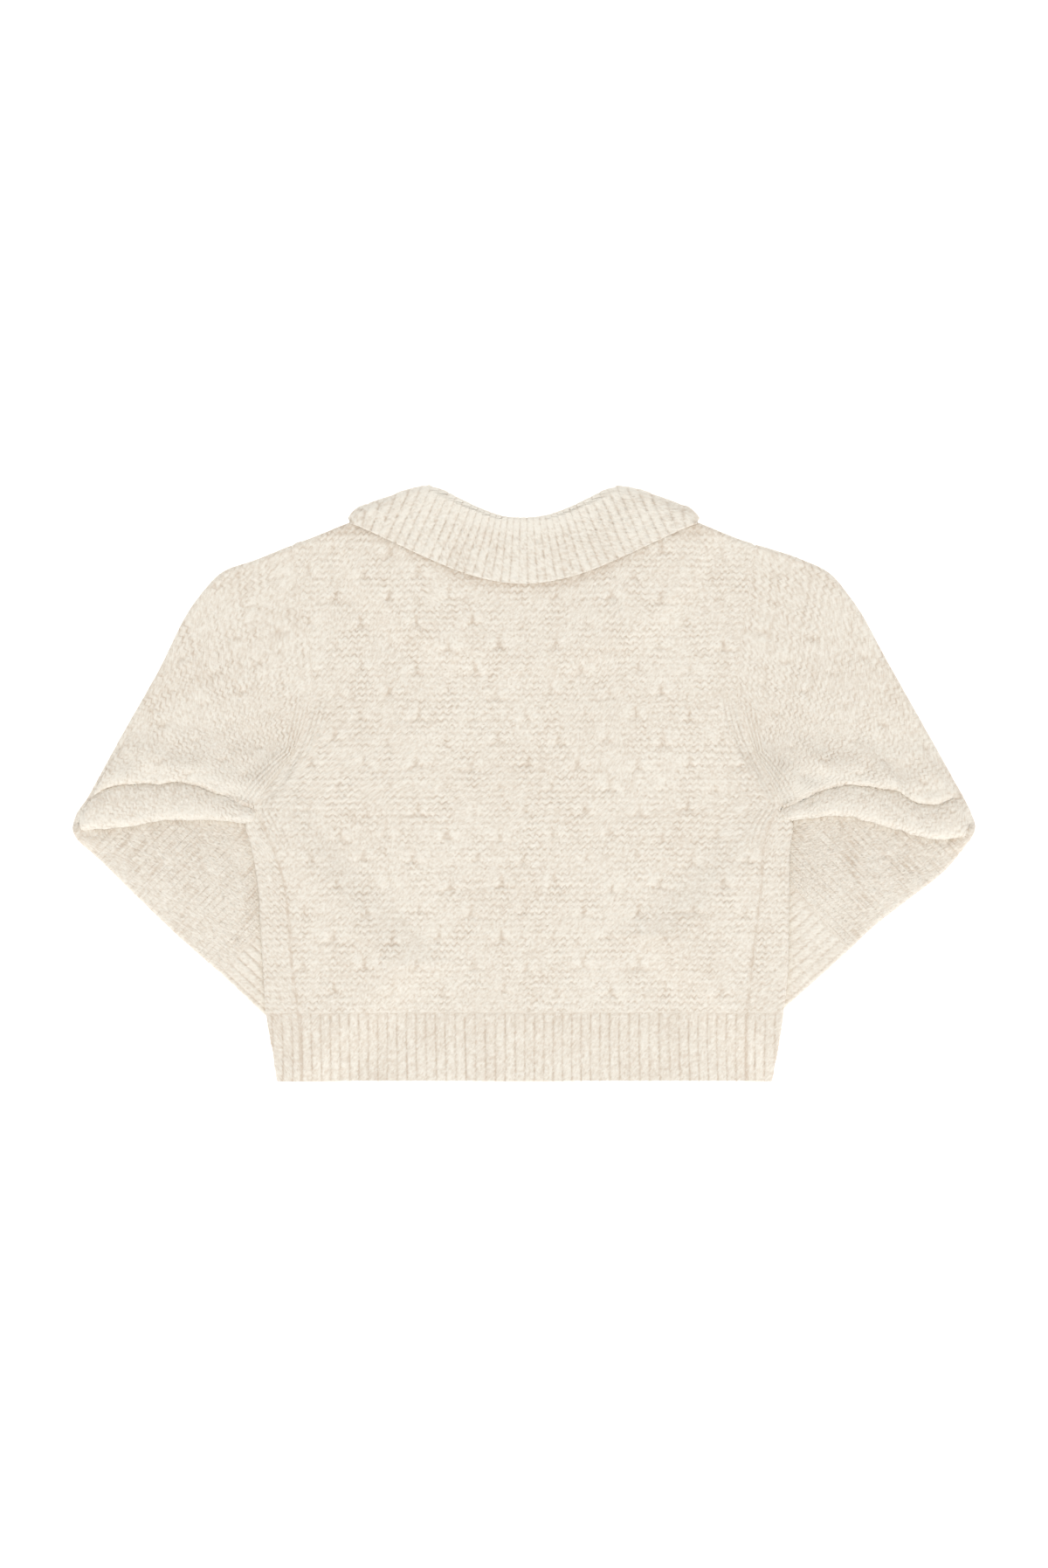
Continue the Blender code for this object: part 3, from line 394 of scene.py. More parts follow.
def patch(start, end, near, far, s, t):
    """A point of the sheet between four curves: start and end run along t, near and far along s."""
    s, t = s[:, None], t[:, None]
    corners = (1 - s) * ((1 - t) * start(0) + t * start(1)) + s * ((1 - t) * end(0) + t * end(1))
    return (1 - s) * start(t) + s * end(t) + (1 - t) * near(s) + t * far(s) - corners


def stops(start, end, step, ends=(True, True)):
    """Places from start to end about a step apart, and closer together at a rounded edge."""
    count = max(int(round(abs(end - start) / step)), 2)
    places = np.linspace(start, end, count + 1)
    near = EDGE_STOPS * math.copysign(1.0, end - start)
    extra = [start + near] * ends[0] + [end - near] * ends[1]
    return np.sort(np.concatenate([places, *extra]))[:: 1 if end > start else -1]


print("a soft step reaches", float(eased(0.25)), "at a quarter of its run")

# %% [markdown]
# ## How high each layer lies
#
# A garment laid flat is a stack. The forearms lie under the body's sides, the collar's front half and the
# buttons under its middle, and every layer above them rises softly. One function, under, says how far the
# body's lower layer is lifted at a place, and all layers take their height from it.

# %% Heights of the layers
def past(x, y, corners):
    """How far a point lies outside a convex outline, its corners anticlockwise."""
    worst = np.full(np.shape(x), -1e9)
    for a, b in zip(corners, corners[1:] + corners[:1]):
        length = math.hypot(b[0] - a[0], b[1] - a[1])
        out = ((b[1] - a[1]) * (x - a[0]) - (b[0] - a[0]) * (y - a[1])) / length
        worst = np.maximum(worst, out)
    return worst


def cuff_run(side):
    """The direction of the cuff, square to its seam with the sleeve."""
    seam = np.array(TUCKED[side][-1]) - np.array(FOREARM[side][-1])
    return np.array([seam[1], -seam[0]]) * -SIGN[side] / np.linalg.norm(seam)


def tucked_outlines(side):
    """The forearm and the cuff of one side, as convex outlines."""
    elbow, wrist = FOREARM[side][0], FOREARM[side][-1]
    armpit, inner = TUCKED[side][0], TUCKED[side][-1]
    far = cuff_run(side) * CUFF_LENGTH
    outlines = [[elbow, wrist, inner, armpit], [wrist, tuple(wrist + far), tuple(inner + far), inner]]
    return outlines if side == "left" else [outline[::-1] for outline in outlines]


def band_bulge(x):
    """1 where the two bands lie on each other, then less and less to its sides."""
    return eased(1 - (np.abs(x) - BAND_HALF - BAND_EARLY) / BAND_FALL)


def under(x, y):
    """How far the body's lower layer is lifted by what it lies on."""
    flat = np.ones(np.shape(x))
    for side in SIGN:
        for corners in tucked_outlines(side):
            flat = flat * (1 - eased(1 - (past(x, y, corners) - ARM_MARGIN) / ARM_FALL))
    reach = np.interp(np.abs(x), COLLAR_REACH[:, 0], COLLAR_REACH[:, 1])
    collar = eased(1 - (reach - COLLAR_EARLY - y) / COLLAR_FALL)
    button = band_bulge(x) * eased((COLLAR_REACH[0, 1] - y) / BAND_FALL)
    return ARM_LIFT * (1 - flat) + COLLAR_LIFT * collar + BUTTON_HEIGHT * button


def front_z(x, y, side):
    """Middle of a front's layer. The left front's band lies on top of the right front's."""
    overlap = WALL * band_bulge(x) if side == "left" else 0.0
    return FLOOR + under(x, y) + overlap


def back_z(x, y):
    """Middle of the back's layer."""
    return FLOOR + LAYER + under(x, y) + OVER_BAND * band_bulge(x)


print("body's lift over the forearm:", round(float(under(np.array([-230.0]), np.array([-120.0]))[0]), 2))

# %% [markdown]
# ## The stitches
#
# The pattern is a brick-like one. Every 22 mm a row of small marks: a short dark nick, like the middle of
# a bow, with a soft puff to each side and two wings spreading down from its foot. Below each mark lies
# a block of wavy purl ridges. Each stitch could be a loop of real yarn, but one panel would need a
# hundred thousand of them. Raised and sunk places of the sheet show the same, because the yarn is so
# fuzzy that its loops run into each other.

# %% The pattern
MARK_PITCH, ROW_PITCH, LOWER_ROW_PITCH = 52.1, 22.5, 25.2
FIRST_ROW_Y, LAST_CLOSE_ROW_Y = 157.1, -67.9
ODD_MARK_X, EVEN_MARK_X = -22.5, 3.5
# One mark. Down is measured from its middle, reach to either side of it
NICK_WIDTH, NICK_LENGTH = 1.7, 4.4
WING_DOWN, WING_SLOPE, WING_WIDTH, WING_REACH, WING_FADE = 4.2, 0.42, 1.9, 10, 7
PUFF_REACH, PUFF_WIDTH, PUFF_UP, PUFF_LENGTH = 7.0, 4.8, 0.5, 6.0
VALLEY_DOWN, VALLEY_WIDTH, VALLEY_REACH, VALLEY_FADE = 7.0, 1.3, 24, 8
PUFF_HEIGHT, NICK_DEPTH, WING_DEPTH, VALLEY_DEPTH = 0.55, 1.2, 0.65, 0.6
FAINTEST, STRONGER = 0.45, 0.75  # how faint the faintest mark is, and how much stronger the strongest
MARK_STRAY, MARK_DROP, MARK_LEAN = 5.0, 3.0, 0.5  # how far marks stray across and down, and how they lean
# The block of purl below a mark: where it starts, and how its top, foot and sides fade
BLOCK_DOWN, BLOCK_SLOPE, BLOCK_FOOT, BLOCK_REACH = 3, 0.3, 1, 15
BLOCK_TOP_FADE, BLOCK_FOOT_FADE, BLOCK_SIDE_FADE = 4, 5, 6
BLOCK_PURL, OTHER_PURL = 0.50, 0.24  # height of the purl in a block and elsewhere
CREST_LEVEL, GROOVE_DROP, PURL_FLAT, RIB_FLAT = 0.4, 1.3, 4.0, 6.0  # how broad crests are beside grooves
# How far things wander, and over what length: rows, marks, height of ridges, stitches across and along
ROW_DRIFT, MARK_DRIFT, RIDGE_DRIFT = (0.09, 70.0), (2.5, 90.0), (0.45, 30.0)
STITCH_DRIFT_ACROSS, STITCH_DRIFT_ALONG = (1.5, 25.0), (0.9, 45.0)
DRIFT_WAVES, DRIFT_CALM = 7, 3.0


def hashed(first, second, seed=0.0):
    """A number from 0 to 1 that looks random, always the same for the same two numbers."""
    return np.mod(np.sin(first * 12.9898 + second * 78.233 + seed * 3.7) * 43758.5453, 1.0)


def drift(x, y, swing, size, seed):
    """A slow uneven swell between about -swing and swing, its waves around size long."""
    total = np.zeros(np.shape(x))
    random = np.random.default_rng(seed)
    for _ in range(DRIFT_WAVES):
        angle, phase = random.uniform(0, math.pi), random.uniform(0, 2 * math.pi)
        length = size * random.uniform(0.7, 1.5)
        total += np.sin((x * math.cos(angle) + y * math.sin(angle)) * 2 * math.pi / length + phase)
    return swing * (total / DRIFT_CALM)


def zigzag(a):
    """How far the grooves between rows of purl wave up and down."""
    return PURL_SWING * np.sin(2 * math.pi * a / PURL_WAVE)


def purl(a, b):
    """Height of rows of purl bumps, between wavy grooves."""
    line = (b + zigzag(a)) / PURL_PITCH
    return CREST_LEVEL - GROOVE_DROP * np.abs(2 * np.mod(line, 1.0) - 1) ** PURL_FLAT


def pattern(a, row, pitch):
    """Height of the marks, and where the blocks of purl lie. a runs across, row counts rows of marks."""
    height = np.zeros(np.shape(a))
    block = np.zeros(np.shape(a))
    for ahead in (0, 1):
        number = np.floor(row) + ahead
        down = (row - number) * pitch
        first = np.where(np.mod(number, 2) == 0, EVEN_MARK_X, ODD_MARK_X)
        count = np.round((a - first) / MARK_PITCH)
        across = a - first - count * MARK_PITCH + (hashed(number, count, 5.0) - 0.5) * MARK_STRAY
        down = down + (hashed(number, count, 9.0) - 0.5) * MARK_DROP
        lean = (hashed(number, count, 4.0) - 0.5) * MARK_LEAN
        nick_at = across + lean * down
        reach = np.abs(across)
        strong = FAINTEST + STRONGER * hashed(number, count)
        nick = np.exp(-((nick_at / NICK_WIDTH) ** 2) - (down / NICK_LENGTH) ** 2)
        wing = np.exp(-(((down - WING_DOWN - WING_SLOPE * reach) / WING_WIDTH) ** 2))
        wing = wing * eased((WING_REACH - reach) / WING_FADE)
        puff = np.exp(-(((reach - PUFF_REACH) / PUFF_WIDTH) ** 2) - ((down + PUFF_UP) / PUFF_LENGTH) ** 2)
        valley = np.exp(-(((down - VALLEY_DOWN - zigzag(a)) / VALLEY_WIDTH) ** 2))
        valley = valley * eased((VALLEY_REACH - reach) / VALLEY_FADE)
        height += strong * (PUFF_HEIGHT * puff - NICK_DEPTH * nick - WING_DEPTH * wing)
        height -= VALLEY_DEPTH * np.maximum(hashed(number, count, 2.0) - 0.5, 0) / 0.5 * valley
        if ahead == 0:
            top = eased((down - BLOCK_DOWN - BLOCK_SLOPE * reach) / BLOCK_TOP_FADE)
            foot = eased((pitch + BLOCK_FOOT - down) / BLOCK_FOOT_FADE)
            block = eased((BLOCK_REACH - reach) / BLOCK_SIDE_FADE) * (top * foot)
    return height, block


def row_of(y):
    """The count of mark rows at a height on the body, and their pitch there."""
    close = y >= LAST_CLOSE_ROW_Y
    upper = (FIRST_ROW_Y - y) / ROW_PITCH
    lower = (FIRST_ROW_Y - LAST_CLOSE_ROW_Y) / ROW_PITCH + (LAST_CLOSE_ROW_Y - y) / LOWER_ROW_PITCH
    return np.where(close, upper, lower), np.where(close, ROW_PITCH, LOWER_ROW_PITCH)


def patterned(a, b, row, pitch, seed, share=1.0):
    """Height of the finished patterned knit, its rows a little uneven, and its stitches' own places."""
    row = row + drift(a, b, *ROW_DRIFT, seed + 1)
    height, block = pattern(a + drift(a, b, *MARK_DRIFT, seed), row, pitch)
    uneven = 1 + drift(a, b, *RIDGE_DRIFT, seed + 2)
    ridges = (OTHER_PURL + (BLOCK_PURL - OTHER_PURL) * block) * uneven
    stitch_a = a + drift(a, b, *STITCH_DRIFT_ACROSS, seed + 4)
    stitch_b = b + drift(a, b, *STITCH_DRIFT_ALONG, seed + 3)
    return height * share + ridges * purl(stitch_a, stitch_b), stitch_a, stitch_b


def rib(count):
    """Height of a rib, count whole ribs along: broad round ridges and narrow grooves."""
    return 1 - np.abs(2 * np.mod(count, 1.0) - 1) ** RIB_FLAT


print("one mark in", MARK_PITCH, "by", ROW_PITCH, "mm")

# %% [markdown]
# ## Making a panel
#
# A panel is a closed sheet: a fine outer face with the stitches, a coarse inner face that nobody sees, and
# a strip that joins them round the rim. A Solidify modifier would give both faces the same number of
# points, twice as many as are needed. The rim's edges are sharp, so that each face is shaded by itself.
# A free edge rounds off. A sewn edge only dips a little and reaches a hair into the piece that it is sewn
# to, so that the seam shows as a soft groove and no gap opens in it.

# %% Build a panel from its functions
INNER_SHARE = 4  # one inner point for so many outer ones
GRID_GAP = 0.05  # keeps the two grids apart while they are joined
FREE_ROUND, FREE_SHARE = 1.9, 0.25  # how a free edge rounds off, and what is left of the wall at its rim
SEWN_ROUND, SEWN_SHARE = 1.2, 0.95
SEAM_DIP, SEAM_WIDTH, SEAM_CALM = 0.14, 1.8, 0.85  # a seam's groove, and how much relief it takes away
LEVEL_FROM, LEVEL_RUN = 0.6, 0.3  # how level a sheet has to lie to be thick straight up beside a seam
LAP = 0.25
DEEPEST = 0.3  # how far below the sheet's middle a stitch may sink
LUMP = 0.15  # fuzz of the yarn that is too small for the pattern
FLECK = 0.22  # how far single points differ in colour
# Crest is also lowered by the painted shade and raised by the painted light that each texture gives
CREST_MIDDLE, CREST_SPAN, INNER_CREST = 0.66, 2.2, 0.5  # how a stitch's height becomes the attribute Crest

Face = namedtuple("Face", "points normals left right bottom top")


def face_of(us, vs, place, facing):
    """The middle of a panel at every stop, its outward normals and its distances from the rim."""
    u, v = np.meshgrid(us, vs)
    points = np.stack(place(u.ravel(), v.ravel()), axis=-1).reshape(len(vs), len(us), 3)
    normals = np.cross(np.gradient(points, axis=1), np.gradient(points, axis=0)) * facing
    normals /= np.maximum(np.linalg.norm(normals, axis=2), 1e-9)[..., None]
    across = np.linalg.norm(np.diff(points, axis=1), axis=2)
    upward = np.linalg.norm(np.diff(points, axis=0), axis=2)
    left = np.pad(np.cumsum(across, axis=1), ((0, 0), (1, 0)))
    bottom = np.pad(np.cumsum(upward, axis=0), ((1, 0), (0, 0)))
    return Face(points, normals, left, left[:, -1:] - left, bottom, bottom[-1:] - bottom)


def every(count):
    """Every fourth stop, and the last."""
    return np.unique(np.append(np.arange(0, count, INNER_SHARE), count - 1))


def rounded(distance, width, share):
    """1 inside a panel, down to a share at its rim, along a quarter ellipse."""
    return share + (1 - share) * np.sqrt(1 - (1 - np.clip(distance / width, 0, 1)) ** 2)


def nearest(face, edges):
    """The distance from the nearest of some of a face's edges."""
    return np.min([getattr(face, edge) for edge in edges] + [np.full_like(face.left, 1e3)], axis=0)


RIM = {"left": np.s_[:, 0], "right": np.s_[:, -1], "bottom": np.s_[0], "top": np.s_[-1]}
NEXT_TO_RIM = {"left": np.s_[:, 1], "right": np.s_[:, -2], "bottom": np.s_[1], "top": np.s_[-2]}


def lapped(points, sewn):
    """The points, with each sewn edge moved a hair outwards, into the piece it is sewn to."""
    points = points.copy()
    for edge in sewn:
        run = points[RIM[edge]] - points[NEXT_TO_RIM[edge]]
        points[RIM[edge]] += LAP * run / np.maximum(np.linalg.norm(run, axis=1, keepdims=True), 1e-9)
    return points


def joined_grids(name, cells, few, facing):
    """A flat mesh of a fine and a coarse grid from -1 to 1, joined round their rims by sharp edges."""
    bm = bmesh.new()
    bmesh.ops.create_grid(bm, x_segments=cells[0], y_segments=cells[1], size=1.0)
    inside = bmesh.ops.create_grid(bm, x_segments=few[0], y_segments=few[1], size=1.0)["verts"]
    bmesh.ops.translate(bm, verts=inside, vec=(0.0, 0.0, -GRID_GAP))
    rim = [edge for edge in bm.edges if edge.is_boundary]
    for edge in rim:
        edge.smooth = False
    bmesh.ops.bridge_loops(bm, edges=rim)
    bmesh.ops.recalc_face_normals(bm, faces=bm.faces[:])
    if facing < 0:
        bmesh.ops.reverse_faces(bm, faces=bm.faces[:])
    mesh = bpy.data.meshes.new(name)
    bm.to_mesh(mesh)
    bm.free()
    return mesh


def cell_of(grid, cells):
    """The line and the column of each point of a grid from -1 to 1."""
    column, line = np.rint((grid[:, :2] + 1) / 2 * np.array(cells)).astype(int).T
    return line, column


def panel(name, us, vs, place, texture, finish, free=(), facing=1.0, lump=LUMP):
    """Builds one panel. texture gives the height of the knit on its face, its painted shade (how much darker
    and warmer it is painted in the shade of other cloth, a crease or a seam, and painted light where this is
    below zero), and cloth coordinates. free names the edges not sewn to another piece."""
    face = face_of(us, vs, place, facing)
    height, shade, a, b = texture(face)
    sewn_edges = [edge for edge in RIM if edge not in free]
    sewn = nearest(face, sewn_edges)
    half = WALL / 2 * rounded(nearest(face, free), FREE_ROUND, FREE_SHARE)
    half = half * rounded(sewn, SEWN_ROUND, SEWN_SHARE)
    random = np.random.default_rng(len(name) + len(us))
    seam = np.exp(-((sewn / SEAM_WIDTH) ** 2))
    fuzz = lump * random.normal(size=height.shape)
    height = (height + fuzz) * (1 - SEAM_CALM * seam) - SEAM_DIP * seam
    # beside a seam of level pieces the sheet is thick straight up, so that no wedge opens between them
    level = seam * eased((np.abs(face.normals[..., 2]) - LEVEL_FROM) / LEVEL_RUN)
    upright = np.zeros_like(face.normals)
    upright[..., 2] = np.sign(face.normals[..., 2])
    normals = face.normals + (upright - face.normals) * level[..., None]
    middle = lapped(face.points, sewn_edges)
    outer = middle + normals * (half + np.maximum(height, -half - DEEPEST))[..., None]
    some = np.ix_(every(len(vs)), every(len(us)))
    inner = (middle - normals * half[..., None])[some]
    for points in (outer, inner):
        points[..., 2] = np.maximum(points[..., 2], 0.0)

    cells, few = (len(us) - 1, len(vs) - 1), (inner.shape[1] - 1, inner.shape[0] - 1)
    mesh = joined_grids(name, cells, few, facing)
    grid = np.empty(len(mesh.vertices) * 3, np.float32)
    mesh.vertices.foreach_get("co", grid)
    fine = len(us) * len(vs)
    on_outer = cell_of(grid.reshape(-1, 3)[:fine], cells)
    on_inner = cell_of(grid.reshape(-1, 3)[fine:], few)
    placed = np.concatenate([outer[on_outer], inner[on_inner]]) - [CENTRE[0], CENTRE[1], 0.0]
    mesh.vertices.foreach_set("co", (placed * MM).astype(np.float32).ravel())

    fleck = FLECK * random.normal(size=height.shape)
    # Crest: the stitch's height, less the painted shade and plus the painted light, with random flecks
    crest = np.clip(CREST_MIDDLE + height / CREST_SPAN - shade + fleck, 0, 1)[on_outer]
    crest = np.append(crest, np.full(len(placed) - fine, INNER_CREST)).astype(np.float32)
    mesh.attributes.new("Crest_and_painted_light", "FLOAT", "POINT").data.foreach_set("value", crest)
    cloth = np.stack([np.broadcast_to(spread, height.shape) for spread in (a, b)], axis=-1) * MM
    cloth = np.concatenate([cloth[on_outer], cloth[some][on_inner]]).astype(np.float32)
    corners = np.empty(len(mesh.loops), np.int32)
    mesh.loops.foreach_get("vertex_index", corners)
    mesh.uv_layers.new(name="Knit").data.foreach_set("uv", cloth[corners].ravel())
    mesh.shade_smooth()
    mesh.update()
    mesh.materials.append(finish)
    made = bpy.data.objects.new(name, mesh)
    bpy.context.collection.objects.link(made)
    sides = np.cross(np.diff(face.points, axis=1)[:-1], np.diff(face.points, axis=0)[:, :-1])
    area = np.linalg.norm(sides, axis=2).sum() * MM * MM
    print(f"{name}: {len(mesh.polygons)} faces, {area:.4f} square metres of knit")
    return made, area


ROOT = "root"


def hand_over(made, area, flat):
    """Attaches the new panel to the root and hides the frame's panel it stands for. Its cut is unused."""
    node = made.name.removesuffix("_knit")
    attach(made, ROOT)
    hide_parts(node)
    cut = min(area, flat[0] * flat[1])
    math.floor(cut * 1e5) / 1e5


print("an edge that is sewn laps by", LAP, "mm")

# %% [markdown]
# ## The back
#
# The back is one panel, from the rib up to the shoulders. At the shoulder its edge rolls over towards the
# front. Beside the lower half of each armhole the stitches are narrowed in, which leaves a smooth strip of
# fine lines along the seam.

# %% Back
FINE_STEP, EDGE_ROW_STEP = 1.55, 0.8  # between stitches' points, and between rows on the shoulder's edge
CURL_RUN, CURL_SIDE = 4.0, 12.0  # over what run the shoulder's edge rolls over, and how far beside the neck
STRIP_WIDTH, STRIP_PITCH, STRIP_HEIGHT, STRIP_FADE = 15.0, 4.2, 0.60, 5
STRIP_TOP, STRIP_BOTTOM, STRIP_ENDS = 95.0, -75.0, 30
SWELL = 0.10  # slow unevenness of the knit
# painted shadow on the back below the collar's free edge: how dark, and over what run it fades
COLLAR_SHADE, COLLAR_SHADE_FALL = 0.38, 16.0
SEAM_SHADE, SEAM_LINE = 0.5, 1.5  # painted shade in the side seam's groove: how dark and how wide it is
SEAM_START, SEAM_FADE = 8, 15  # how far below the armpit it starts to show, and over what run
SQUARE_TO_SEAM = 0.93  # the seam slants, so the way along a row to it is longer than the way straight there


def top_y(x):
    """The shoulder line, and the back's neck between the neck points."""
    x = np.abs(x)
    neck = BACK_NECK_Y + (NECK_Y - BACK_NECK_Y) * (np.minimum(x, NECK_HALF) / NECK_HALF) ** NECK_ROUND
    slope = (NECK_Y - TIP_Y) / (TIP_X - NECK_HALF)
    return np.where(x < NECK_HALF, neck, NECK_Y - slope * (x - NECK_HALF))


def side_seam(side, y):
    """The line where back and front meet: the side seam, then the armhole."""
    seam = np.vstack([SIDES[:, [0, SIDE_COLUMN[side][1]]], ARMHOLES[1:, [0, ARM_COLUMN[side]]]])
    return blended(seam[:, 0], seam[:, 1], y)


def rolled_edge(x_top, base_y):
    """How far the shoulder's edge runs out and turns, for rows past the shoulder's tip height."""
    curl = eased((np.abs(x_top) - NECK_HALF) / CURL_SIDE)
    share = np.clip((base_y - TIP_Y) / CURL_RUN, 0, 1)
    turn = curl * math.pi / 2 * share
    return ROUND * np.sin(turn) + LIP * share * (1 - curl), ROUND * (1 - np.cos(turn))


def row_height(base_y, top):
    """The height of a row where the panel's upper edge is at top. base_y is its height at the tip."""
    share = (np.minimum(base_y, TIP_Y) - RIB_Y) / (TIP_Y - RIB_Y)
    return RIB_Y + share * (top - RIB_Y)


def across_back(x_top, y):
    """The place across, between the side seams, of a column that ends at x_top."""
    left, right = side_seam("left", y), side_seam("right", y)
    return left + (right - left) * (x_top + TIP_X) / (2 * TIP_X)


def back_point(x_top, base_y):
    """x_top is the place across at the shoulders, base_y the height at the shoulder's tip."""
    y = row_height(base_y, top_y(x_top))
    x = across_back(x_top, y)
    out, drop = rolled_edge(x_top, base_y)
    return x, y + out, back_z(x, y) - drop


def seam_shade(from_seam, y):
    """The side seam shows as a fine uneven line of painted shade, and the armhole's seam hardly shows."""
    uneven = 0.8 + drift(y, y, 0.4, 14.0, 3)
    shown = eased((ARMPIT_Y - SEAM_START - y) / SEAM_FADE)
    return SEAM_SHADE * np.exp(-((from_seam / SEAM_LINE) ** 2)) * uneven * shown


def fashioned(from_seam, y):
    """How much of a place belongs to the smooth strip beside the armhole, and the strip's fine lines."""
    level = eased((STRIP_TOP - y) / STRIP_ENDS) * eased((y - STRIP_BOTTOM) / STRIP_ENDS)
    lines = STRIP_HEIGHT * np.cos(2 * math.pi * from_seam / STRIP_PITCH)
    return level * eased((STRIP_WIDTH + STRIP_FADE - from_seam) / STRIP_FADE), lines


def back_texture(face):
    """The patterned knit, with the fashioned strips, the side seams' painted shade and the collar's painted
    shadow.
    """
    x, y = face.points[..., 0], face.points[..., 1]
    from_seam = np.minimum(face.left, face.right) * SQUARE_TO_SEAM
    height, stitch_x, stitch_y = patterned(x, y, *row_of(y), 11)
    strip, lines = fashioned(from_seam, y)
    height = height * (1 - strip) + lines * strip + drift(x, y, SWELL, 120.0, 18)
    collar_edge = along(FREE_BACK, np.linspace(1, 0, 40))
    edge_y = np.interp(np.abs(x), collar_edge[:, 0], collar_edge[:, 1])
    # painted shadow of the collar's free edge
    shade = COLLAR_SHADE * eased(1 - (edge_y - y) / COLLAR_SHADE_FALL)
    return height, shade + seam_shade(from_seam, y), stitch_x, stitch_y


across = stops(-TIP_X, TIP_X, FINE_STEP)
edge_rows = TIP_Y + np.arange(1, 6) * EDGE_ROW_STEP
upward = np.concatenate([stops(RIB_Y, TIP_Y, FINE_STEP, (True, False)), edge_rows])
back, area = panel("back_knit", across, upward, back_point, back_texture, patterned_yarn)
hand_over(back, area, (0.511, 0.492))

# %% [markdown]
# ## The fronts
#
# Each front starts at the side seam on the upper side, wraps round the side fold and runs on underneath to
# its button band. The strip on top is plain purl. Underneath, the knit lies flat on the table.

# %% Fronts
FIRST_X = TIP_X - 12.0  # where the fold's end meets the shoulder
RAMP = 25.0  # above the armpit the front's edge passes from the upper to the lower side
EDGE_TURN = 6  # run over which the fold's edge passes into the armhole
LEAST_FOLD = 12.0
QUARTER = ROUND * math.pi / 2
WRAP_STEPS, FOLD_STEPS, UNDER_STEPS = 18, 8, 52
BESIDE_SEAM = [0.012, 0.03]  # extra columns beside the side seam
FRONT_PURL = 0.45


def front_neck_y(x):
    """The front's neckline: a quarter ellipse from the neck point to the band."""
    f = np.clip((np.abs(x) - BAND_HALF) / (NECK_HALF - BAND_HALF), 0, 1)
    return FRONT_NECK_Y + (NECK_Y - FRONT_NECK_Y) * (1 - np.sqrt(1 - f * f))


def fold_point(side, x_edge, s, y):
    """A point of the flattened body, s along its ring: 0 at the fold's edge, + below, - above."""
    turn = np.clip(s / ROUND, -math.pi / 2, math.pi / 2)
    inwards = ROUND - ROUND * np.cos(turn) + np.maximum(np.abs(s) - QUARTER, 0)
    x = x_edge - SIGN[side] * inwards
    low, high = front_z(x, y, side), back_z(x, y)
    return x, y, (low + high) / 2 - (high - low) / 2 * np.sin(turn)


def front_edge(side, y):
    """The fold's middle line: the body's outline less half a wall, and above the armpit the armhole."""
    below = blended(SIDES[:, 0], SIDES[:, SIDE_COLUMN[side][0]], np.minimum(y, ARMPIT_Y))
    above = blended(ARMHOLES[:, 0], ARMHOLES[:, ARM_COLUMN[side]], np.maximum(y, ARMPIT_Y))
    below, above = below - SIGN[side] * WALL / 2, above - SIGN[side] * WALL / 2
    return below + (above - below) * eased((y - ARMPIT_Y) / EDGE_TURN)


def front_point(side, neck, u, base_y):
    """u: 0 at the side seam, 1 where the fold begins, 2 where it ends, 3 at the button band. The hem's
    front runs the same way, without a neck."""
    x_top = np.where(u < 2, TIP_X + (FIRST_X - TIP_X) * u / 2, FIRST_X - (u - 2) * (FIRST_X - BAND_HALF))
    y = base_y
    if neck:
        y = row_height(base_y, np.where(x_top < NECK_HALF, front_neck_y(x_top), top_y(x_top)))
    edge = front_edge(side, y)
    width = np.abs(edge - side_seam(side, y))
    on_top, below = -(width - ROUND + QUARTER), QUARTER - ROUND - WALL / 2
    begin = on_top + (below - on_top) * eased((y - ARMPIT_Y) / RAMP)
    fold_end = np.maximum(begin + LEAST_FOLD, QUARTER)
    fold_begin = np.where(begin < -QUARTER, -QUARTER, begin + (fold_end - begin) / 3)
    centre = np.abs(edge) - ROUND - BAND_HALF + QUARTER
    s = np.where(u < 1, begin + (fold_begin - begin) * u, fold_begin + (fold_end - fold_begin) * (u - 1))
    s = np.where(u > 2, fold_end + (centre - fold_end) * (u - 2), s)
    x, y, z = fold_point(side, edge, s, y)
    if not neck:
        return x, y, z
    out, rise = rolled_edge(x_top, base_y)
    return x, y + out, z + rise


def front_stops():
    """Columns of a front, closer together on the upper side and in the fold than underneath."""
    wrap = np.sort(np.append(stops(0.0, 1.0, 1 / WRAP_STEPS, (False, False)), BESIDE_SEAM))
    fold = stops(1.0, 2.0, 1 / FOLD_STEPS, (False, False))[1:]
    under_side = stops(2.0, 3.0, 1 / UNDER_STEPS, (False, False))[1:]
    return np.concatenate([wrap, fold, under_side])


def front_texture(face):
    """Plain purl, its rows a little uneven."""
    x, y = face.points[..., 0], face.points[..., 1]
    stitch_y = y + drift(x, y, 1.0, 60.0, 5)
    ridges = FRONT_PURL * purl(x, stitch_y) * (1 + drift(x, y, 0.5, 25.0, 6))
    return ridges + drift(x, y, SWELL, 80.0, 7), seam_shade(face.left, y), x, stitch_y


for side in SIGN:
    front, area = panel(f"front_{side}_knit", front_stops(), upward, partial(front_point, side, True),
                        front_texture, patterned_yarn, (), SIGN[side])
    hand_over(front, area, (0.275, 0.492))

# %% [markdown]
# ## The hem
#
# The hem is ribbed: one rib of knit and one groove of purl every 9 mm. It is knitted on to the body, so its
# side seams carry on from the panels'.

# %% Hem
RIB_HIGH, RIB_LOW = 0.40, -0.80
RIB_SAMPLES, HEM_STEP, HEM_UNDER_STEPS = 6, 1.9, 140
CHAIN_HEIGHT, CHAIN_SLANT = 0.16, 2.0
# HEM_SHADE is painted shade over the whole hem, which the lamp beyond it lights more strongly
HEM_RELIEF, HEM_SHADE = 0.82, 0.18


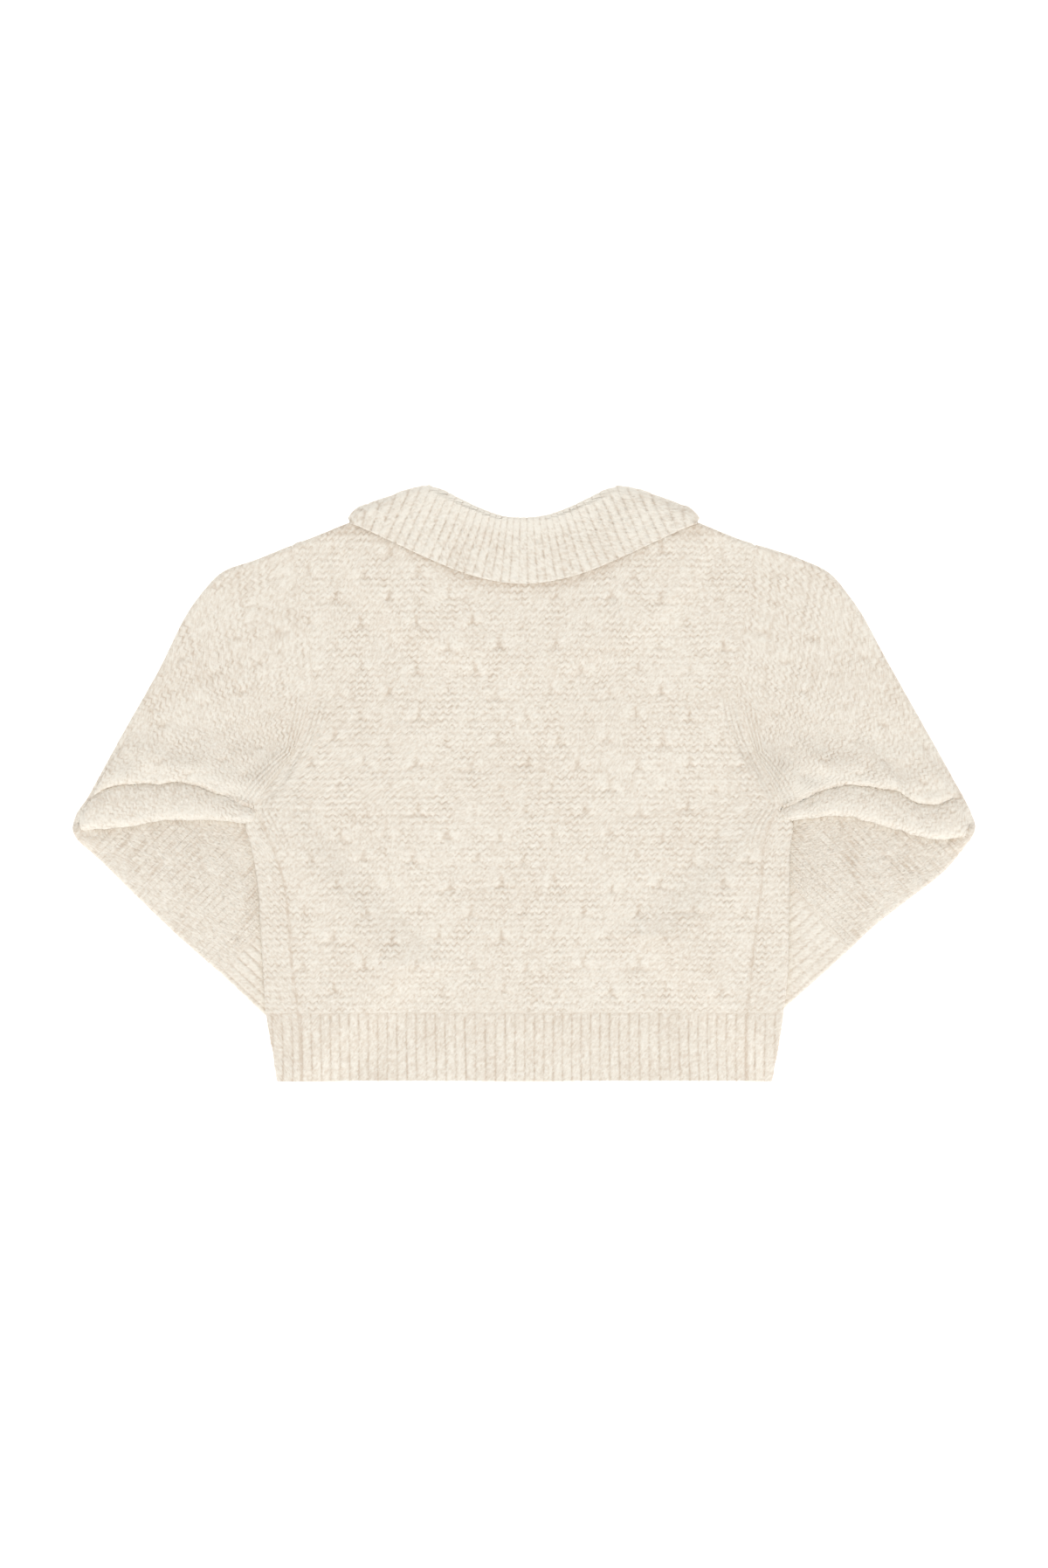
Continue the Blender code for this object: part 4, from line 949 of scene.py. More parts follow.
def ribbed(count, y, seed):
    """Height of the rib knit: ribs with a faint chain of stitches along each crest."""
    crest = rib(count)
    slant = CHAIN_SLANT * np.abs(2 * np.mod(count, 1.0) - 1)
    chain = CHAIN_HEIGHT * np.cos(2 * math.pi * y / CHAIN_PITCH + slant)
    uneven = 1 + drift(count * RIB_PITCH, y, 0.15, 40.0, seed)
    return RIB_LOW + (RIB_HIGH - RIB_LOW) * crest * uneven + chain * crest


def hem_back_point(x_top, y):
    """The hem carries the back's columns on."""
    x = across_back(x_top, y)
    return x, y, back_z(x, y)


def hem_texture(face):
    """Ribs that lean a little."""
    x, y = face.points[..., 0], face.points[..., 1]
    lean = drift(x, y, 1.0, 130.0, 31)
    height = HEM_RELIEF * ribbed((x + lean) / RIB_PITCH, y, 32) + drift(x, y, SWELL, 120.0, 33)
    # the hem is painted a little darker as painted shade, besides the seams' painted shade
    return height, HEM_SHADE + seam_shade(np.minimum(face.left, face.right), y), x + lean, y


ribs_across = stops(-TIP_X, TIP_X, RIB_PITCH / RIB_SAMPLES)
hem_up = stops(HEM_Y, RIB_Y, HEM_STEP)
hem_back, area = panel("hem_back_knit", ribs_across, hem_up, hem_back_point, hem_texture, ribbed_yarn,
                       ("bottom",))
hand_over(hem_back, area, (0.427, 0.067))

under_ribs = np.linspace(2.0, 3.0, HEM_UNDER_STEPS + 1)[1:]
hem_front_stops = np.concatenate([front_stops()[front_stops() <= 2.0], under_ribs])
for side in SIGN:
    hem_front, area = panel(f"hem_front_{side}_knit", hem_front_stops, hem_up,
                            partial(front_point, side, False), hem_texture, ribbed_yarn, ("bottom",),
                            SIGN[side])
    hand_over(hem_front, area, (0.272, 0.067))

# %% [markdown]
# ## The button bands
#
# The bands are plain strips of three ribs. The cardigan lies on its front, so the left band lies on top of
# the right one. The buttons are sewn to the left band, come out through slits in the right one and rest on
# its outer side, here underneath. Threads and slits are left out.

# %% Button bands
BAND_RIBS, BAND_RELIEF = 3, 0.6


def band_point(side, x, y):
    """A band lies where the front beside it lies."""
    return x, y, front_z(x, y, side)


def band_texture(face):
    """Ribs along the band."""
    x, y = face.points[..., 0], face.points[..., 1]
    count = (x + BAND_HALF) / (BAND_HALF * 2 / BAND_RIBS)
    return BAND_RELIEF * ribbed(count, y, 41), 0.0, count * RIB_PITCH, y


for side in SIGN:
    band, area = panel(f"band_{side}_knit", stops(-BAND_HALF, BAND_HALF, 1.6),
                       stops(HEM_Y, FRONT_NECK_Y + LIP, 3.0), partial(band_point, side), band_texture,
                       ribbed_yarn, ("bottom", "top"), -1.0)
    hand_over(band, area, (0.030, 0.474))

# %% [markdown]
# ## The sleeves
#
# A sleeve is a flattened tube. Its sheet starts at the underarm seam, runs along the table to the outer
# fold and back on top. At the elbow the upper layer is folded: it bulges above a crease, rolls forward
# and down, and runs back under the roll before it goes on along the forearm. Near the outer fold the
# pleat opens out and the sheet just follows the elbow. Crease and fold waver a little, as soft cloth does.

# %% Sleeves
STATION = [0.0, 0.12, 0.22, 0.32, 0.62, 1.0]  # fractions of the upper arm
STATION_Y = [28.0, 19.0, 12.0, 5.0, -6.0, -20.0]  # height of the armhole at each of them
SHARES = [0.0, 0.10, 0.20, 0.35, 0.55, 0.78, 0.975, 1.0]
SHARE_Y = [224.0, 199.5, 175.0, 125.0, 85.0, 55.0, 31.1, 28.0]
CREASE_Z, BULGE_Z, BULGE_AT, BULGE_FALL = 10.8, 15.2, 7.0, 70.0
BULGE_DRIFT = (0.15, 30.0)
PLEAT_BACK = 22.0
PLEAT_END = (0.0, -4.0)  # from the fold's edge to where the forearm begins
PLEAT_OPENS = 0.055  # share of the sleeve's width, beside the outer fold, over which the pleat opens out
# How much thicker the sleeve's outer edge is at the elbow, how much wider that part gets after the pleat's
# eighth step, where it starts on the upper arm and where it ends on the forearm
EDGE_RISE, EDGE_WIDER, WIDER_FROM, WIDER_RUN = 4.8, 0.10, 8, 2
RISE_FROM, RISE_RUN, RISE_END = 0.8, 0.2, 0.14
CREASE_WAVER, FOLD_WAVER = (1.4, 26.0, 91), (1.0, 18.0, 92)  # how far, over what length, and the seed
ARMPIT_REACH = 7.0  # how far the elbow's roll runs in under the body's edge
REACH_FROM, REACH_RUN = 0.85, 0.15  # and over which share of the sleeve's width
WRIST_FROM, WRIST_RUN = 0.6, 0.4  # towards the cuff it runs out again
FOREARM_PUFF, UPPER_PUFF = 2.5, 2.0
CLOSE_FROM, CLOSE_RUN = 2.1, 0.3  # from where on the forearm the two layers are sewn into a tube
ALMOST_SEAM, SEAM_RUN = 0.975, 0.025  # over which share of the sleeve's width they come together
# Pleat, from the crease to where the forearm shows: share of the way up to the crease, millimetres up
# from the fold's edge, and height
PLEAT = np.array([
    (1.00, 0.0, CREASE_Z), (0.86, 0.0, 14.0), (0.55, 0.0, 16.4), (0.20, 0.0, 16.6), (0.0, 2.6, 14.8),
    (0.0, 1.3, 12.65), (0.0, 3.3, 10.7), (0.0, PLEAT_BACK, 10.7), (0.0, PLEAT_BACK + 2.0, 8.75),
    (0.0, PLEAT_BACK, 6.8), (0.0, PLEAT_END[1], 6.8)])
PLEAT_STOPS = np.concatenate([
    np.linspace(0, 1, 7), np.linspace(1, 3, 16)[1:], np.linspace(3, 4, 5)[1:], np.linspace(4, 6, 9)[1:],
    np.linspace(6, 7, 5)[1:], np.linspace(7, 9, 7)[1:], np.linspace(9, 10, 6)[1:]])


def inset(spots, side):
    """A line of the sleeve's outline moved in to the middle of its rounded edge."""
    spots = np.array(spots, float)
    tangent = np.gradient(spots, axis=0)
    tangent /= np.linalg.norm(tangent, axis=1)[:, None]
    return spots + EDGE * np.stack([-tangent[:, 1], tangent[:, 0]], axis=1) * -SIGN[side]


def outer_line(side):
    """The middle of the sleeve's outer rounded edge, in its three stretches."""
    moved = inset(UPPER_ARM[side] + ELBOW[side][1:-1] + FOREARM[side], side)
    upper, elbow = len(UPPER_ARM[side]), len(UPPER_ARM[side]) + len(ELBOW[side]) - 1
    return moved[:upper], moved[upper - 1 : elbow], moved[elbow - 1 :]


def armhole(side, y):
    """The sleeve's edge at the armhole seam, read at heights y."""
    return np.stack([blended(ARMHOLES[:, 0], ARMHOLES[:, ARM_COLUMN[side]], y), y], axis=1)


def armhole_top(side):
    """The armhole from the shoulder's tip down to the upper arm's last stretch."""
    return lambda t: armhole(side, blended(SHARES, SHARE_Y, np.ravel(t)))


def armhole_low(side):
    """The armhole's last stretch, down to the armpit."""
    return lambda s: armhole(side, blended(STATION, STATION_Y, np.ravel(s)))


def arm_rise(side, s):
    """How far the armhole is lifted beside the upper arm at its fraction s."""
    seam = armhole_low(side)(s)
    return under(seam[:, 0], seam[:, 1])


def wavered(spots, swing, size, seed):
    """A smooth line through the spots that wavers a little, but not at its ends."""
    share = np.linspace(0, 1, 33)
    middle = along(spots, share)
    wave = drift(middle[:, 0], 0 * share, swing, size, seed)
    middle[:, 1] += wave * np.sqrt(np.sin(math.pi * share) + 1e-9)
    return middle


def run_under(side, t, share):
    """How far the sleeve's inner edge is moved in under the body's edge, so that nothing gapes there."""
    return -SIGN[side] * ARMPIT_REACH * eased((t - REACH_FROM) / REACH_RUN) * share


def before_wrist(s_fore):
    """1 along the forearm, and less towards the cuff."""
    return 1 - eased((s_fore - WRIST_FROM) / WRIST_RUN)


def at_armhole(t):
    """1 at the armhole or the underarm seam, 0 from about a fifth of the sleeve's width away."""
    return eased((t - SHARES[-3]) / (1 - SHARES[-3]))


def lower_layer(side, s_upper, elbow, s_fore, t):
    """The layer on the table: upper arm, elbow and forearm in one flat stretch."""
    upper, bend, fore = outer_line(side)
    armpit = armhole(side, np.array([ARMPIT_Y]))[0]
    drop = np.array([armpit, UNDERARM[side]])
    rest = np.array([upper[-1], armpit])
    wrist = np.array([fore[-1], TUCKED[side][-1]])
    tucked = [UNDERARM[side]] + TUCKED[side][1:]
    arm = patch(armhole_top(side), line(rest), line(upper), armhole_low(side), s_upper, t)
    across = along(bend, elbow) * (1 - t[:, None]) + along(drop, elbow) * t[:, None]
    start = np.array([fore[0], UNDERARM[side]])
    forearm = patch(line(start), line(wrist), line(fore), line(tucked), s_fore, t)
    across[:, 0] += run_under(side, t, eased(elbow))
    forearm[:, 0] += run_under(side, t, before_wrist(s_fore))
    rise = arm_rise(side, s_upper) * at_armhole(t)
    return arm, across, forearm, FLOOR + rise * (1 - eased(elbow / 0.7))


def upper_layer(side, s_upper, elbow, s_fore, t):
    """The layer on top: upper arm down to the crease, the pleat at the elbow, then the forearm."""
    upper, bend, fore = outer_line(side)
    crease, fold = np.array(CREASE[side], float), np.array(FOLD[side], float)
    crease[0] = upper[-1]
    start = fold + PLEAT_END
    start[0], start[-1] = fore[0], TUCKED[side][0]
    crease = wavered(crease, *CREASE_WAVER)
    fold, start = (wavered(spots, *FOLD_WAVER) for spots in (fold, start))
    first, edge, last = (along(spots, t) for spots in (crease, fold, start))
    arm = patch(armhole_top(side), line(crease), line(upper), armhole_low(side), s_upper, t)

    shut = eased(t / PLEAT_OPENS)
    index = elbow * (len(PLEAT) - 1)
    share, up, pleat_z = blended(np.arange(len(PLEAT)), PLEAT, index).T
    pleated = edge + share[:, None] * (first - edge) + np.stack([np.zeros(len(t)), up], axis=1)
    pleated = pleated + (last - edge - PLEAT_END) * eased(index - len(PLEAT) + 2)[:, None]
    opened = first + (last - first) * eased(elbow)[:, None]
    across = opened + (pleated - opened) * shut[:, None]
    straight = upper[-1] + (fore[0] - upper[-1]) * eased(elbow)[:, None]
    across = across + (along(bend, elbow) - straight) * (1 - shut)[:, None]
    across[:, 0] += run_under(side, t, 0.35 + 0.65 * eased(index / 1.5))
    wrist = np.array([fore[-1], TUCKED[side][-1]])
    forearm = patch(line(start), line(wrist), line(fore), line(TUCKED[side]), s_fore, t)
    forearm[:, 0] += run_under(side, t, before_wrist(s_fore))

    at_seam = at_armhole(t)
    from_crease = np.linalg.norm(arm - first, axis=1)
    bulge = eased(1 - (from_crease - BULGE_AT) / BULGE_FALL) * (BULGE_Z - TUBE_TOP)
    bulge = bulge * (1 + drift(arm[:, 0], arm[:, 1], *BULGE_DRIFT, 95))
    dip = (BULGE_Z - CREASE_Z) * (1 - eased(from_crease / BULGE_AT)) ** 2
    rise = (bulge - dip) * shut * (1 - at_seam)
    rise = rise + at_seam * (arm_rise(side, s_upper) * (1 - eased(s_upper)) + ARM_LIFT * eased(s_upper))
    arm_z = TUBE_TOP + rise + UPPER_PUFF * np.sin(math.pi * t) * np.sin(math.pi * s_upper)
    swell = np.sin(math.pi * np.clip(t * 1.25, 0, 1)) * np.sin(math.pi * s_fore)
    seam_lift = at_seam * (TUBE_TOP + ARM_LIFT - CREASE_Z) * (1 - eased(index))
    z = np.where(elbow > 0, TUBE_TOP + (pleat_z - TUBE_TOP) * shut + seam_lift, arm_z)
    width = PLEAT_OPENS + EDGE_WIDER * eased((index - WIDER_FROM) / WIDER_RUN)
    thicker = EDGE_RISE * (1 - eased(t / width)) * eased((s_upper - RISE_FROM) / RISE_RUN)
    thicker = thicker * (1 - eased(s_fore / RISE_END))
    return arm, across, forearm, np.where(s_fore > 0, TUBE_TOP + FOREARM_PUFF * swell, z) + thicker


def sleeve_layer(side, way, t, layer):
    """A point of one of a sleeve's two layers. way: 0 armhole, 1 crease, 2 pleat's end, 3 cuff."""
    parts = [np.clip(way - first, 0, 1) for first in (0, 1, 2)]
    arm, across, forearm, z = layer(side, *parts, t)
    plan = np.where((way > 1)[:, None], across, arm)
    return np.column_stack([np.where((way > 2)[:, None], forearm, plan), z])


def sleeve_point(side, u, way):
    """u: -1 at the underarm seam below, 0 to 1 round the outer fold, 2 at the seam on top."""
    low = sleeve_layer(side, way, np.clip(-u, 0, 1), lower_layer)
    high = sleeve_layer(side, way, np.clip(u - 1, 0, 1), upper_layer)
    point = np.where((u >= 1)[:, None], high, low)
    on_fold = (u > 0) & (u < 1)
    ahead = sleeve_layer(side, np.minimum(way + 0.01, 3.0), np.zeros(len(u)), lower_layer)
    behind = sleeve_layer(side, np.maximum(way - 0.01, 0.0), np.zeros(len(u)), lower_layer)
    run = (ahead - behind)[:, :2]
    run /= np.maximum(np.linalg.norm(run, axis=1), 1e-9)[:, None]
    out = np.stack([run[:, 1], -run[:, 0]], axis=1) * -SIGN[side]
    turn = np.clip(u, 0, 1) * math.pi
    plan = low[:, :2] + ROUND * np.sin(turn)[:, None] * out
    z = (high[:, 2] + low[:, 2]) / 2 - (high[:, 2] - low[:, 2]) / 2 * np.cos(turn)
    point = np.where(on_fold[:, None], np.column_stack([plan, z]), point)
    closing = eased((way - CLOSE_FROM) / CLOSE_RUN)
    share = eased((np.where(u < 0, -u, u - 1) - ALMOST_SEAM) / SEAM_RUN)
    point[:, 2] += (FLOOR + ROUND - point[:, 2]) * closing * share
    return point.T


ARM_PIVOT, ARM_RADIUS = (190.0, -220.0), 340.0  # the sleeve's rows fan out round this place
FOREARM_RUN = (0.73, -0.68)
SLEEVE_ROW_START, SLEEVE_MARKS = 0.4, 0.8  # where the rows of marks begin, and how high the marks are
# Painted shade in the elbow's crease and on the forearm below the roll, and painted light on the bulge above
# the crease and on the roll's lower half, which face the lamp
CREASE_SHADE, CREASE_WIDTH = 0.45, 2.6
BULGE_LIGHT, BULGE_WIDTH, ROLL_LIGHT = 0.32, 34.0, 0.25
ROLL_SHADE, ROLL_SHADE_FALL = 0.20, 22.0
ROLL_LUMP = 0.12  # how much fuzzier the roll and the forearm are
PLAIN_SHARE = 0.35  # hardly any marks on the roll and the forearm, where the brushed side shows
BESIDE_RIM, BESIDE_SHOULDER = [0.998, 0.995], [0.001, 0.003]  # extra stops beside the sewn edges

below = -stops(0.0, 1.0, 1 / 36, (False, False))[::-1]
round_fold = np.linspace(0, 1, 9)[1:]
on_top = 1 + np.sort(np.append(np.linspace(0, 1, 121)[1:], BESIDE_RIM))
sleeve_round = np.concatenate([below, round_fold, on_top])
upper_way = np.sort(np.append(np.linspace(0, 1, 146), BESIDE_SHOULDER))
pleat_way = 1 + PLEAT_STOPS[1:] / (len(PLEAT) - 1)
fore_way = 2 + np.sort(np.append(np.linspace(0, 1, 86)[1:], BESIDE_RIM))
sleeve_along = np.concatenate([upper_way, pleat_way, fore_way])
CREASE_LINE, FOREARM_LINE = len(upper_way) - 1, len(upper_way) + len(pleat_way) - 1
# Where the stitches change: they are lower on the outer fold, whose outline is smooth, and the marks are
# lower past the bulge. On the forearm the rows run another way
calm_fold = 1 - 0.6 * eased(1 - np.abs(sleeve_round - 0.5) / 0.8)
past_bulge = eased((sleeve_along - 0.9) / 0.1)[:, None]
on_forearm = eased((sleeve_along - 1.6) / 0.2)[:, None]
on_roll = ((sleeve_along < 1.6) * eased((sleeve_along - 1.15) / 0.15))[:, None]
on_arm = (sleeve_along <= 1)[:, None] * (sleeve_round > 1)
sleeve_lump = (LUMP + ROLL_LUMP * past_bulge) * calm_fold


def sleeve_texture(side, face):
    """The sleeve's knit. Its rows fan out along the upper arm and run straight along the forearm."""
    x, y = face.points[..., 0] * SIGN[side], face.points[..., 1]
    far_x, far_y = x - ARM_PIVOT[0], y - ARM_PIVOT[1]
    a, b = np.hypot(far_x, far_y), np.arctan2(far_x, far_y) * ARM_RADIUS
    fore_a = x * FOREARM_RUN[1] - y * FOREARM_RUN[0]
    fore_b = -x * FOREARM_RUN[0] + y * FOREARM_RUN[1]
    a, b = a + (fore_a - a) * on_forearm, b + (fore_b - b) * on_forearm
    height, a, b = patterned(a, b, b / ROW_PITCH + SLEEVE_ROW_START, ROW_PITCH, 51, SLEEVE_MARKS)
    height = height * (1 - (1 - PLAIN_SHARE) * past_bulge)
    strip, lines = fashioned(np.minimum(face.right, face.bottom), y)
    strip = strip * (sleeve_round > 1.5) * (sleeve_along < 1)[:, None]
    height = height * (1 - strip) + lines * strip
    # painted shade in the crease and below the roll, painted light on the bulge and on the roll
    from_crease = np.abs(face.bottom - face.bottom[CREASE_LINE])
    shade = CREASE_SHADE * np.exp(-((from_crease / CREASE_WIDTH) ** 2))
    shade = shade - BULGE_LIGHT * on_arm * eased(1 - from_crease / BULGE_WIDTH) - ROLL_LIGHT * on_roll
    from_roll = np.maximum(face.bottom - face.bottom[FOREARM_LINE], 0)
    shade = shade + on_forearm * (ROLL_SHADE * np.exp(-from_roll / ROLL_SHADE_FALL))
    return height * calm_fold + drift(x, y, SWELL, 90.0, 57), shade, a, b


for side in SIGN:
    sleeve, area = panel(f"sleeve_{side}_knit", sleeve_round, sleeve_along, partial(sleeve_point, side),
                         partial(sleeve_texture, side), patterned_yarn, (), SIGN[side], sleeve_lump)
    hand_over(sleeve, area, (0.40, 0.50))

# %% [markdown]
# ## The cuffs
#
# Each cuff is the sleeve's ribbed end, flattened like the sleeve. Most of it lies under the body, and only
# its outer corner shows.

# %% Cuffs
CUFF_ROUND_STEP, CUFF_ALONG_STEP, CUFF_RELIEF = 1.5, 2.0, 0.7
CUFF_CLOSE = 3.0  # run over which the cuff's two layers come together at its seam


def cuff_ends(side):
    """The outer and the inner end of the cuff's seam with the sleeve, and the distance between them."""
    ends = np.array([outer_line(side)[2][-1], TUCKED[side][-1]])
    return ends, np.linalg.norm(ends[1] - ends[0])


def cuff_point(side, u, s):
    """u in millimetres round the cuff: 0 at the seam below, then the outer fold, then the seam above."""
    ends, width = cuff_ends(side)
    across = (ends[1] - ends[0]) / width
    t = np.where(u < width, width - u, np.maximum(u - width - math.pi * ROUND, 0.0))
    turn = np.clip((u - width) / ROUND, 0, math.pi)
    plan = ends[0] + across * (t - ROUND * np.sin(turn))[:, None] + cuff_run(side) * s[:, None]
    z = FLOOR + ROUND * (1 - np.cos(turn))
    closing = eased((t - width + CUFF_CLOSE) / CUFF_CLOSE)
    plan = plan + across * (SEAM_TURN * closing)[:, None]
    return plan[:, 0], plan[:, 1], z + (FLOOR + ROUND - z) * closing


def cuff_texture(face):
    """A whole number of ribs round the cuff."""
    count = face.left / face.left.max() * np.rint(face.left.max() / RIB_PITCH)
    return CUFF_RELIEF * ribbed(count, face.bottom, 61), 0.0, count * RIB_PITCH, face.bottom


for side in SIGN:
    whole = 2 * cuff_ends(side)[1] + math.pi * ROUND
    cuff, area = panel(f"cuff_{side}_knit", stops(0.0, whole, CUFF_ROUND_STEP),
                       stops(0.0, CUFF_LENGTH, CUFF_ALONG_STEP), partial(cuff_point, side), cuff_texture,
                       ribbed_yarn, ("top",), SIGN[side])
    hand_over(cuff, area, (0.17, 0.088))

# %% [markdown]
# ## The collar
#
# The collar is one deep rib-knit piece. From the neck seam it stands up, rolls over and falls back on to
# the shoulders. Its ribs run from the neck seam to the free edge, so they fan out like rays. It is laid
# out section by section round the neck: along the front's neckline, over each neck point, round the back.

# %% Collar
FRONT_START_X = 2.5  # half the gap between the collar's ends in front
FRONT_PARTS = 7  # the last of so many parts of the front's half runs along the top of the band
COLLAR_RIB, COLLAR_SAMPLES = 8.9, 6
TURN_EARLY = 0.28  # the collar starts to turn to the front before it reaches the neck point
HELD, HELD_TO, HELD_RUN = 0.8, 1.3, 0.3  # how much of the lean the fall loses, and where round the neck
FAN_FREE = [0.0, 0.5, 0.8, 1.0]  # where a rib meets the free edge, as a share of half its length, and
FAN_TOP = [0.0, 0.36, 0.68, 1.0]  # where it meets the roll line and the side roll
FALL_MIDDLE = 2.45  # the row along which the ribs are counted
RELIEF_LEAST, RELIEF_MORE = 0.3, 0.7  # the ribs are lower on the stand than on the fall
COLLAR_ROLL_PAINTED_LIGHT = 0.35  # painted light: the roll turns away from the lamp and is painted paler


def collar_way(way):
    """Neck seam, roll line, free edge, side bend and angle of one half. way: 0 front, 1 and 2 neck point,
    3 back."""
    shrink = 1 - LIP / NECK_HALF
    last = (FRONT_PARTS - 1) / FRONT_PARTS
    e = 1 - np.clip(way, 0, 1)
    g = np.clip(way - 2, 0, 1)
    f = np.sin(math.pi / 2 * (1 - np.minimum(e / last, 1)))
    front_x = BAND_HALF + f * (NECK_HALF - BAND_HALF)
    on_band = BAND_HALF - (e - last) * FRONT_PARTS * (BAND_HALF - FRONT_START_X)
    front_x = np.where(e > last, on_band, front_x)
    back_x = NECK_HALF * (1 - g)
    behind = (way >= 2)[:, None]
    neck = np.where(behind, np.stack([back_x * shrink, top_y(back_x) + LIP], axis=1),
                    np.stack([front_x * shrink, front_neck_y(front_x) + LIP], axis=1))
    f = (front_x - FRONT_START_X) / (NECK_HALF - FRONT_START_X)
    roll_x = FRONT_START_X + f * (SIDE_ROLL[0][0] - FRONT_START_X)
    rise = SIDE_ROLL[0][1] - (FRONT_NECK_Y + STAND)
    roll_y = FRONT_NECK_Y + STAND + rise * (1 - np.sqrt(np.maximum(1 - f * f, 0)))
    roll = np.where(behind, along(ROLL_BACK, g), np.stack([roll_x, roll_y], axis=1))
    free = np.where(behind, along(FREE_BACK, g), along(FREE_FRONT, e))
    bend = np.where(way >= 2, (1 - g) ** 2, (1 - e) ** 2)
    angle = math.pi * np.clip((2 + TURN_EARLY - way) / (1 + TURN_EARLY), 0, 1)
    return neck, roll, free, bend, angle


def collar_point(row, way):
    """way runs from -3 at the left front round the back, 0, to 3 at the right front. row: 0 neck seam,
    1 roll begins, 2 roll ends, 3 free edge."""
    sign = np.where(way < 0, -1.0, 1.0)
    neck, roll, free, bend, angle = collar_way(3 - np.abs(way))
    mirror = np.stack([sign, np.ones(len(sign))], axis=1)
    neck, roll, free = neck * mirror, roll * mirror, free * mirror
    over = np.where((way < -2), WALL * band_bulge(neck[:, 0]), 0.0)
    inner, out_radius = ROUND - over, ROUND + 2 * ROLL
    away = roll - neck
    away /= np.linalg.norm(away, axis=1)[:, None]
    stand, fall = np.clip(row, 0, 1)[:, None], np.clip(row - 2, 0, 1)
    turn = np.clip(row - 1, 0, 1) * math.pi
    middle_radius, half = (inner + out_radius) / 2, (out_radius - inner) / 2
    plan = neck + (roll - neck) * stand + away * (half * np.sin(turn))[:, None]
    radius = middle_radius - half * np.cos(turn)
    straight = roll + (free - roll) * fall[:, None]
    bent = along(SIDE_ROLL, fall) * mirror
    plan = np.where((row > 2)[:, None], straight + (bent - straight) * bend[:, None], plan)
    outwards = np.array(COLLAR_OUT) * mirror
    held = 1 - HELD * eased(fall) * eased((HELD_TO - np.abs(way)) / HELD_RUN)
    plan = plan + outwards * (np.sin(angle) * radius * held)[:, None]
    z = FLOOR + under(plan[:, 0], plan[:, 1]) + ROUND + np.cos(angle) * radius
    return plan[:, 0], plan[:, 1], z


def collar_stops():
    """Sections an equal length apart along the middle of the fall, a whole number of them to a rib."""
    way = np.linspace(-3, 3, 4001)
    middle = np.stack(collar_point(np.full(len(way), FALL_MIDDLE), way), axis=1)
    length = np.append(0, np.cumsum(np.linalg.norm(np.diff(middle, axis=0), axis=1)))
    ribs = int(round(length[-1] / COLLAR_RIB))
    count = np.linspace(0, ribs, ribs * COLLAR_SAMPLES + 1)
    return np.interp(count, length / length[-1] * ribs, way), count


collar_along, rib_count = collar_stops()
collar_rows = np.concatenate([
    [0.0, 0.02, 0.05], np.linspace(0, 1, 9)[1:], np.linspace(1, 2, 9)[1:], np.linspace(2, 3, 37)[1:-1],
    [2.985, 2.994, 3.0]])


def fan(x, y):
    """The count of ribs at a place on the collar's fall, from the middle of the neck outwards."""
    free_line = FREE_BACK[::-1]
    top_line = ROLL_BACK[::-1] + SIDE_ROLL[1:]
    length = np.linalg.norm(np.diff(free_line, axis=0), axis=1).sum()
    low, high = np.zeros(np.size(x)), np.ones(np.size(x))
    place = np.stack([np.abs(x).ravel(), y.ravel()], axis=1)
    for _ in range(12):
        share = (low + high) / 2
        foot, head = along(free_line, share), along(top_line, blended(FAN_FREE, FAN_TOP, share))
        run, off = head - foot, place - foot
        beyond = run[:, 1] * off[:, 0] - run[:, 0] * off[:, 1] > 0
        low, high = np.where(beyond, share, low), np.where(beyond, high, share)
    return (low * length / COLLAR_RIB).reshape(np.shape(x)) * np.sign(x)


def collar_texture(face):
    """Ribs that fan out, lower on the stand, and painted paler on the roll, which turns from the lamp."""
    x, y = face.points[..., 0], face.points[..., 1]
    below = eased((np.abs(collar_along) - 1.0) / 0.9)[:, None]
    seen = fan(x, y)
    roll_end = np.searchsorted(collar_rows, 2.0)
    seen[:, :roll_end] = seen[:, roll_end : roll_end + 1]
    hidden = rib_count[:, None] - rib_count[-1] / 2
    count = 0.5 + seen + (hidden - seen) * below + drift(x, y, 0.06, 60.0, 71)
    relief = RELIEF_LEAST + RELIEF_MORE * eased((collar_rows - 1.3) / 0.6)
    height = ribbed(count, face.left, 72) * relief + drift(x, y, 0.2, 70.0, 73)
    # painted light on the collar's roll, which the lamp hardly reaches
    light = COLLAR_ROLL_PAINTED_LIGHT * eased((collar_rows - 0.9) / 0.5) * eased((2.3 - collar_rows) / 0.25)
    return height, -light, count * RIB_PITCH, face.left


collar_lump = 0.05 + 0.19 * eased((collar_rows - 1.7) / 0.8)  # the stand and the roll are less fuzzy
collar, area = panel("collar_knit", collar_rows, collar_along, collar_point, collar_texture, ribbed_yarn,
                     ("right", "bottom", "top"), 1.0, collar_lump)
hand_over(collar, area, (0.62, 0.095))
print("ribs in the collar:", int(rib_count[-1]))

# %% [markdown]
# ## The buttons
#
# Five buttons are sewn to the left band. They lie face down on the table under the garment and don't show
# in the picture, so they are plain: horn coloured, with a rounded rim, a shallow dish and four holes. The
# holes could be gaps left between faces, but a Boolean cut by four drills takes fewer lines.

